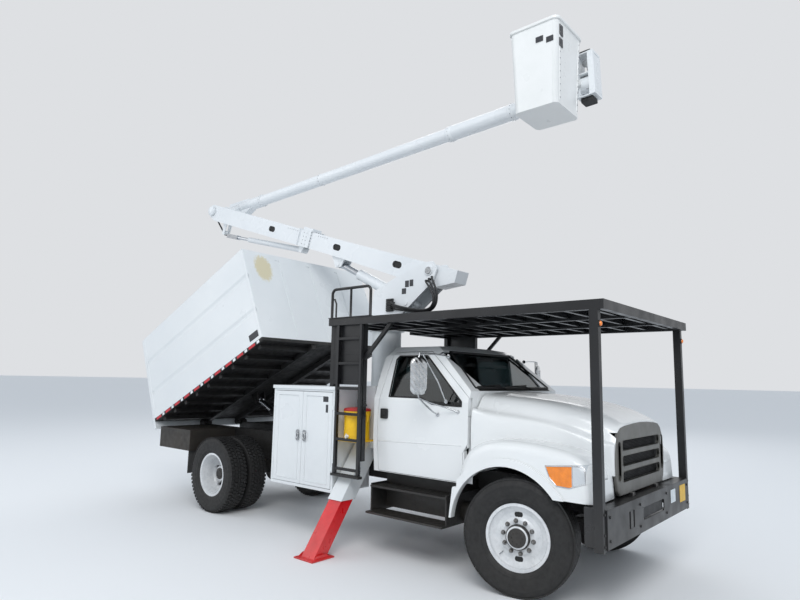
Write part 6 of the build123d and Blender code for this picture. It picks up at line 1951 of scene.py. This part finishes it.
@dataclass
class TipFrame:
    """White box frame at the upper boom's tip, with two open bays, their drums and its pads."""

    y: Pair = (272.0, 478.0)
    along: Pair = (7085.0, 7312.0)
    up: Pair = (-34.0, 522.0)
    cut: float = 46.0
    shelf: Pair = (250.0, 266.0)
    bays: Pair = (40.0, 320.0)

    DRUM = ((0, 0), (0, 0.052), (0.012, 0.052), (0.012, 0.036), (0.14, 0.036), (0.14, 0.052),
            (0.152, 0.052), (0.152, 0))

    def loop(self, corners: Iterable[Pair]) -> list[Vector]:
        """Corners given along and up the boom, on the frame's right face."""
        return [UPPER_AXES.place(along, self.y[0], up) for along, up in corners]

    def build(self) -> None:
        """Builds the frame, the drums in its bays and the pads above and below."""
        frame_mesh, drums, pads = Mesh(), Mesh(), Mesh()
        (a0, a1), (u0, u1), cut, (low, high) = self.along, self.up, self.cut, self.shelf
        back, face, corner = a0 + 40, a1 - 18, a1 - cut - 8
        frame_mesh.plate(
            self.loop([(a0, u0), (a1 - cut, u0), (a1, u0 + cut), (a1, u1 - cut), (a1 - cut, u1),
                       (a0, u1)]),
            [self.loop([(back, u0 + 16), (corner, u0 + 16), (face, u0 + cut + 8), (face, low),
                        (back, low)]),
             self.loop([(back, high), (face, high), (face, u1 - cut - 8), (corner, u1 - 16),
                        (back, u1 - 16)])],
            ACROSS * (self.y[1] - self.y[0]) * MM)
        frame_mesh.finish("tip_frame", "upper_boom", BOOM_ENAMEL, bevel=4.0, segments=3)
        for bay in self.bays:
            centre = UPPER_AXES.place((a0 + a1) / 2 + 16, self.y[0] + 26, bay + 70)
            drums.lathe(self.DRUM, centre, ACROSS, 32)
        drums.finish("tip_drums", "upper_boom", ZINC, bevel=1.5, smooth=50)
        for up, tall in ((u0 - 52, 52), (u1, 34)):
            pads.pad(UPPER_AXES.place(a0 + 108, sum(self.y) / 2, up), UPPER_AXES.along, ACROSS,
                     (150, 150, 14), UPPER_AXES.square * tall * MM)
        pads.finish("tip_pads", "upper_boom", SEAL_BLACK, bevel=2.0)


@dataclass
class Bucket:
    """Liner lip, bolted flanges and blank plates of the bucket."""

    pivot: Pair = (84.712, 5439.833)
    length: float = 600.0
    width: float = 650.0
    height: float = 1000.0
    drop: float = 467.0
    taper: float = 35.0
    far: float = 240.0
    back: float = 500.0
    flange_inset: float = 72.0

    FLANGE = ((-13, 0), (-11, 4.5), (11, 4.5), (13, 0))
    # Plates on the right and on the front: off the middle, height, width and height of it
    RIGHT_PLATES = ((80, 782, 92, 66), (205, 742, 86, 66))
    FRONT_PLATES = ((-222, 850, 84, 128), (-222, 706, 84, 100))

    def middle(self, z: float) -> Vector:
        """The bucket's middle at a height above its floor."""
        x = self.pivot[0] - self.back + self.length / 2
        return at(x, self.far - self.width / 2, self.pivot[1] - self.drop + z)

    def halves(self, z: float) -> Pair:
        """Half the bucket's length and half its width at a height."""
        draw = self.taper * (1 - z / self.height)
        return self.length / 2 - draw, self.width / 2 - draw

    def place(self, z: float, ahead: float, across: float) -> Vector:
        """A place at a height, in millimetres from the bucket's middle."""
        return self.middle(z) + (AHEAD * ahead + ACROSS * across) * MM

    def lip(self) -> None:
        """Rolled inner lip of the liner, standing inside the rim."""
        mesh = Mesh()
        z, grow = 988, -14
        along, across = self.halves(z)
        mesh.hoop(rounded(self.middle(z), AHEAD, ACROSS,
                          (2 * (along + grow), 2 * (across + grow), 60 + grow), 10), 0.009, 10)
        mesh.finish("bucket_liner_lip", "bucket", LINER_WHITE, smooth=60)

    def seam(self) -> None:
        """The bolted flanges that run down the tub's front."""
        mesh, screws = Mesh(), Mesh()
        for _, way in SIDES:
            rows = []
            for z in (40.0, 400.0, 925.0):
                along, across = self.halves(z)
                rows.append([self.place(z, along - 1 + dx, way * (across - self.flange_inset) + dy)
                             for dy, dx in self.FLANGE])
            mesh.skin(rows)
            for k in range(12):
                z = 70 + k * 75.0
                along, across = self.halves(z)
                screws.hexes([self.place(z, along + 3.3, way * (across - self.flange_inset))],
                             AHEAD, 0.012, 0.005)
        mesh.finish("bucket_flanges", "bucket", BUCKET_GELCOAT, smooth=50)
        screws.finish("bucket_screws", "bucket", ZINC, bevel=0.5)

    def plates(self) -> None:
        """Small dark plates near the top corner, left blank."""
        mesh = Mesh()
        for off, z, w, h in self.RIGHT_PLATES:
            mesh.pad(self.place(z, off, -self.halves(z)[1] - 1), AHEAD, UP, (w, h, 5),
                     -ACROSS * 0.004)
        for off, z, w, h in self.FRONT_PLATES:
            mesh.pad(self.place(z, self.halves(z)[0] + 2, off), ACROSS, UP, (w, h, 5),
                     AHEAD * 0.005)
        mesh.finish("bucket_plates", "bucket", PLATE_DARK, bevel=0.5)

    def build(self) -> None:
        """Builds the bucket's trim."""
        self.lip()
        self.seam()
        self.plates()


def main() -> None:
    """Builds the studio and the truck."""
    logging.basicConfig(level=logging.INFO, format="%(message)s")
    turret = TurretFittings()
    Studio().build()
    turret.hoses()
    for group in (FrameNodes(), *road_wheels(), Windscreen(),
                  *(CabDoor(hand, way) for hand, way in SIDES), Grille(), LampRims(), FrontEnd(),
                  CabInside(), ToolBoxes(), LadderStep(), CoolerLid(), ChipBody(), turret,
                  LowerBoom(), UpperBoom(), TipFrame(), Bucket()):
        group.build()


if __name__ == "__main__":
    main()
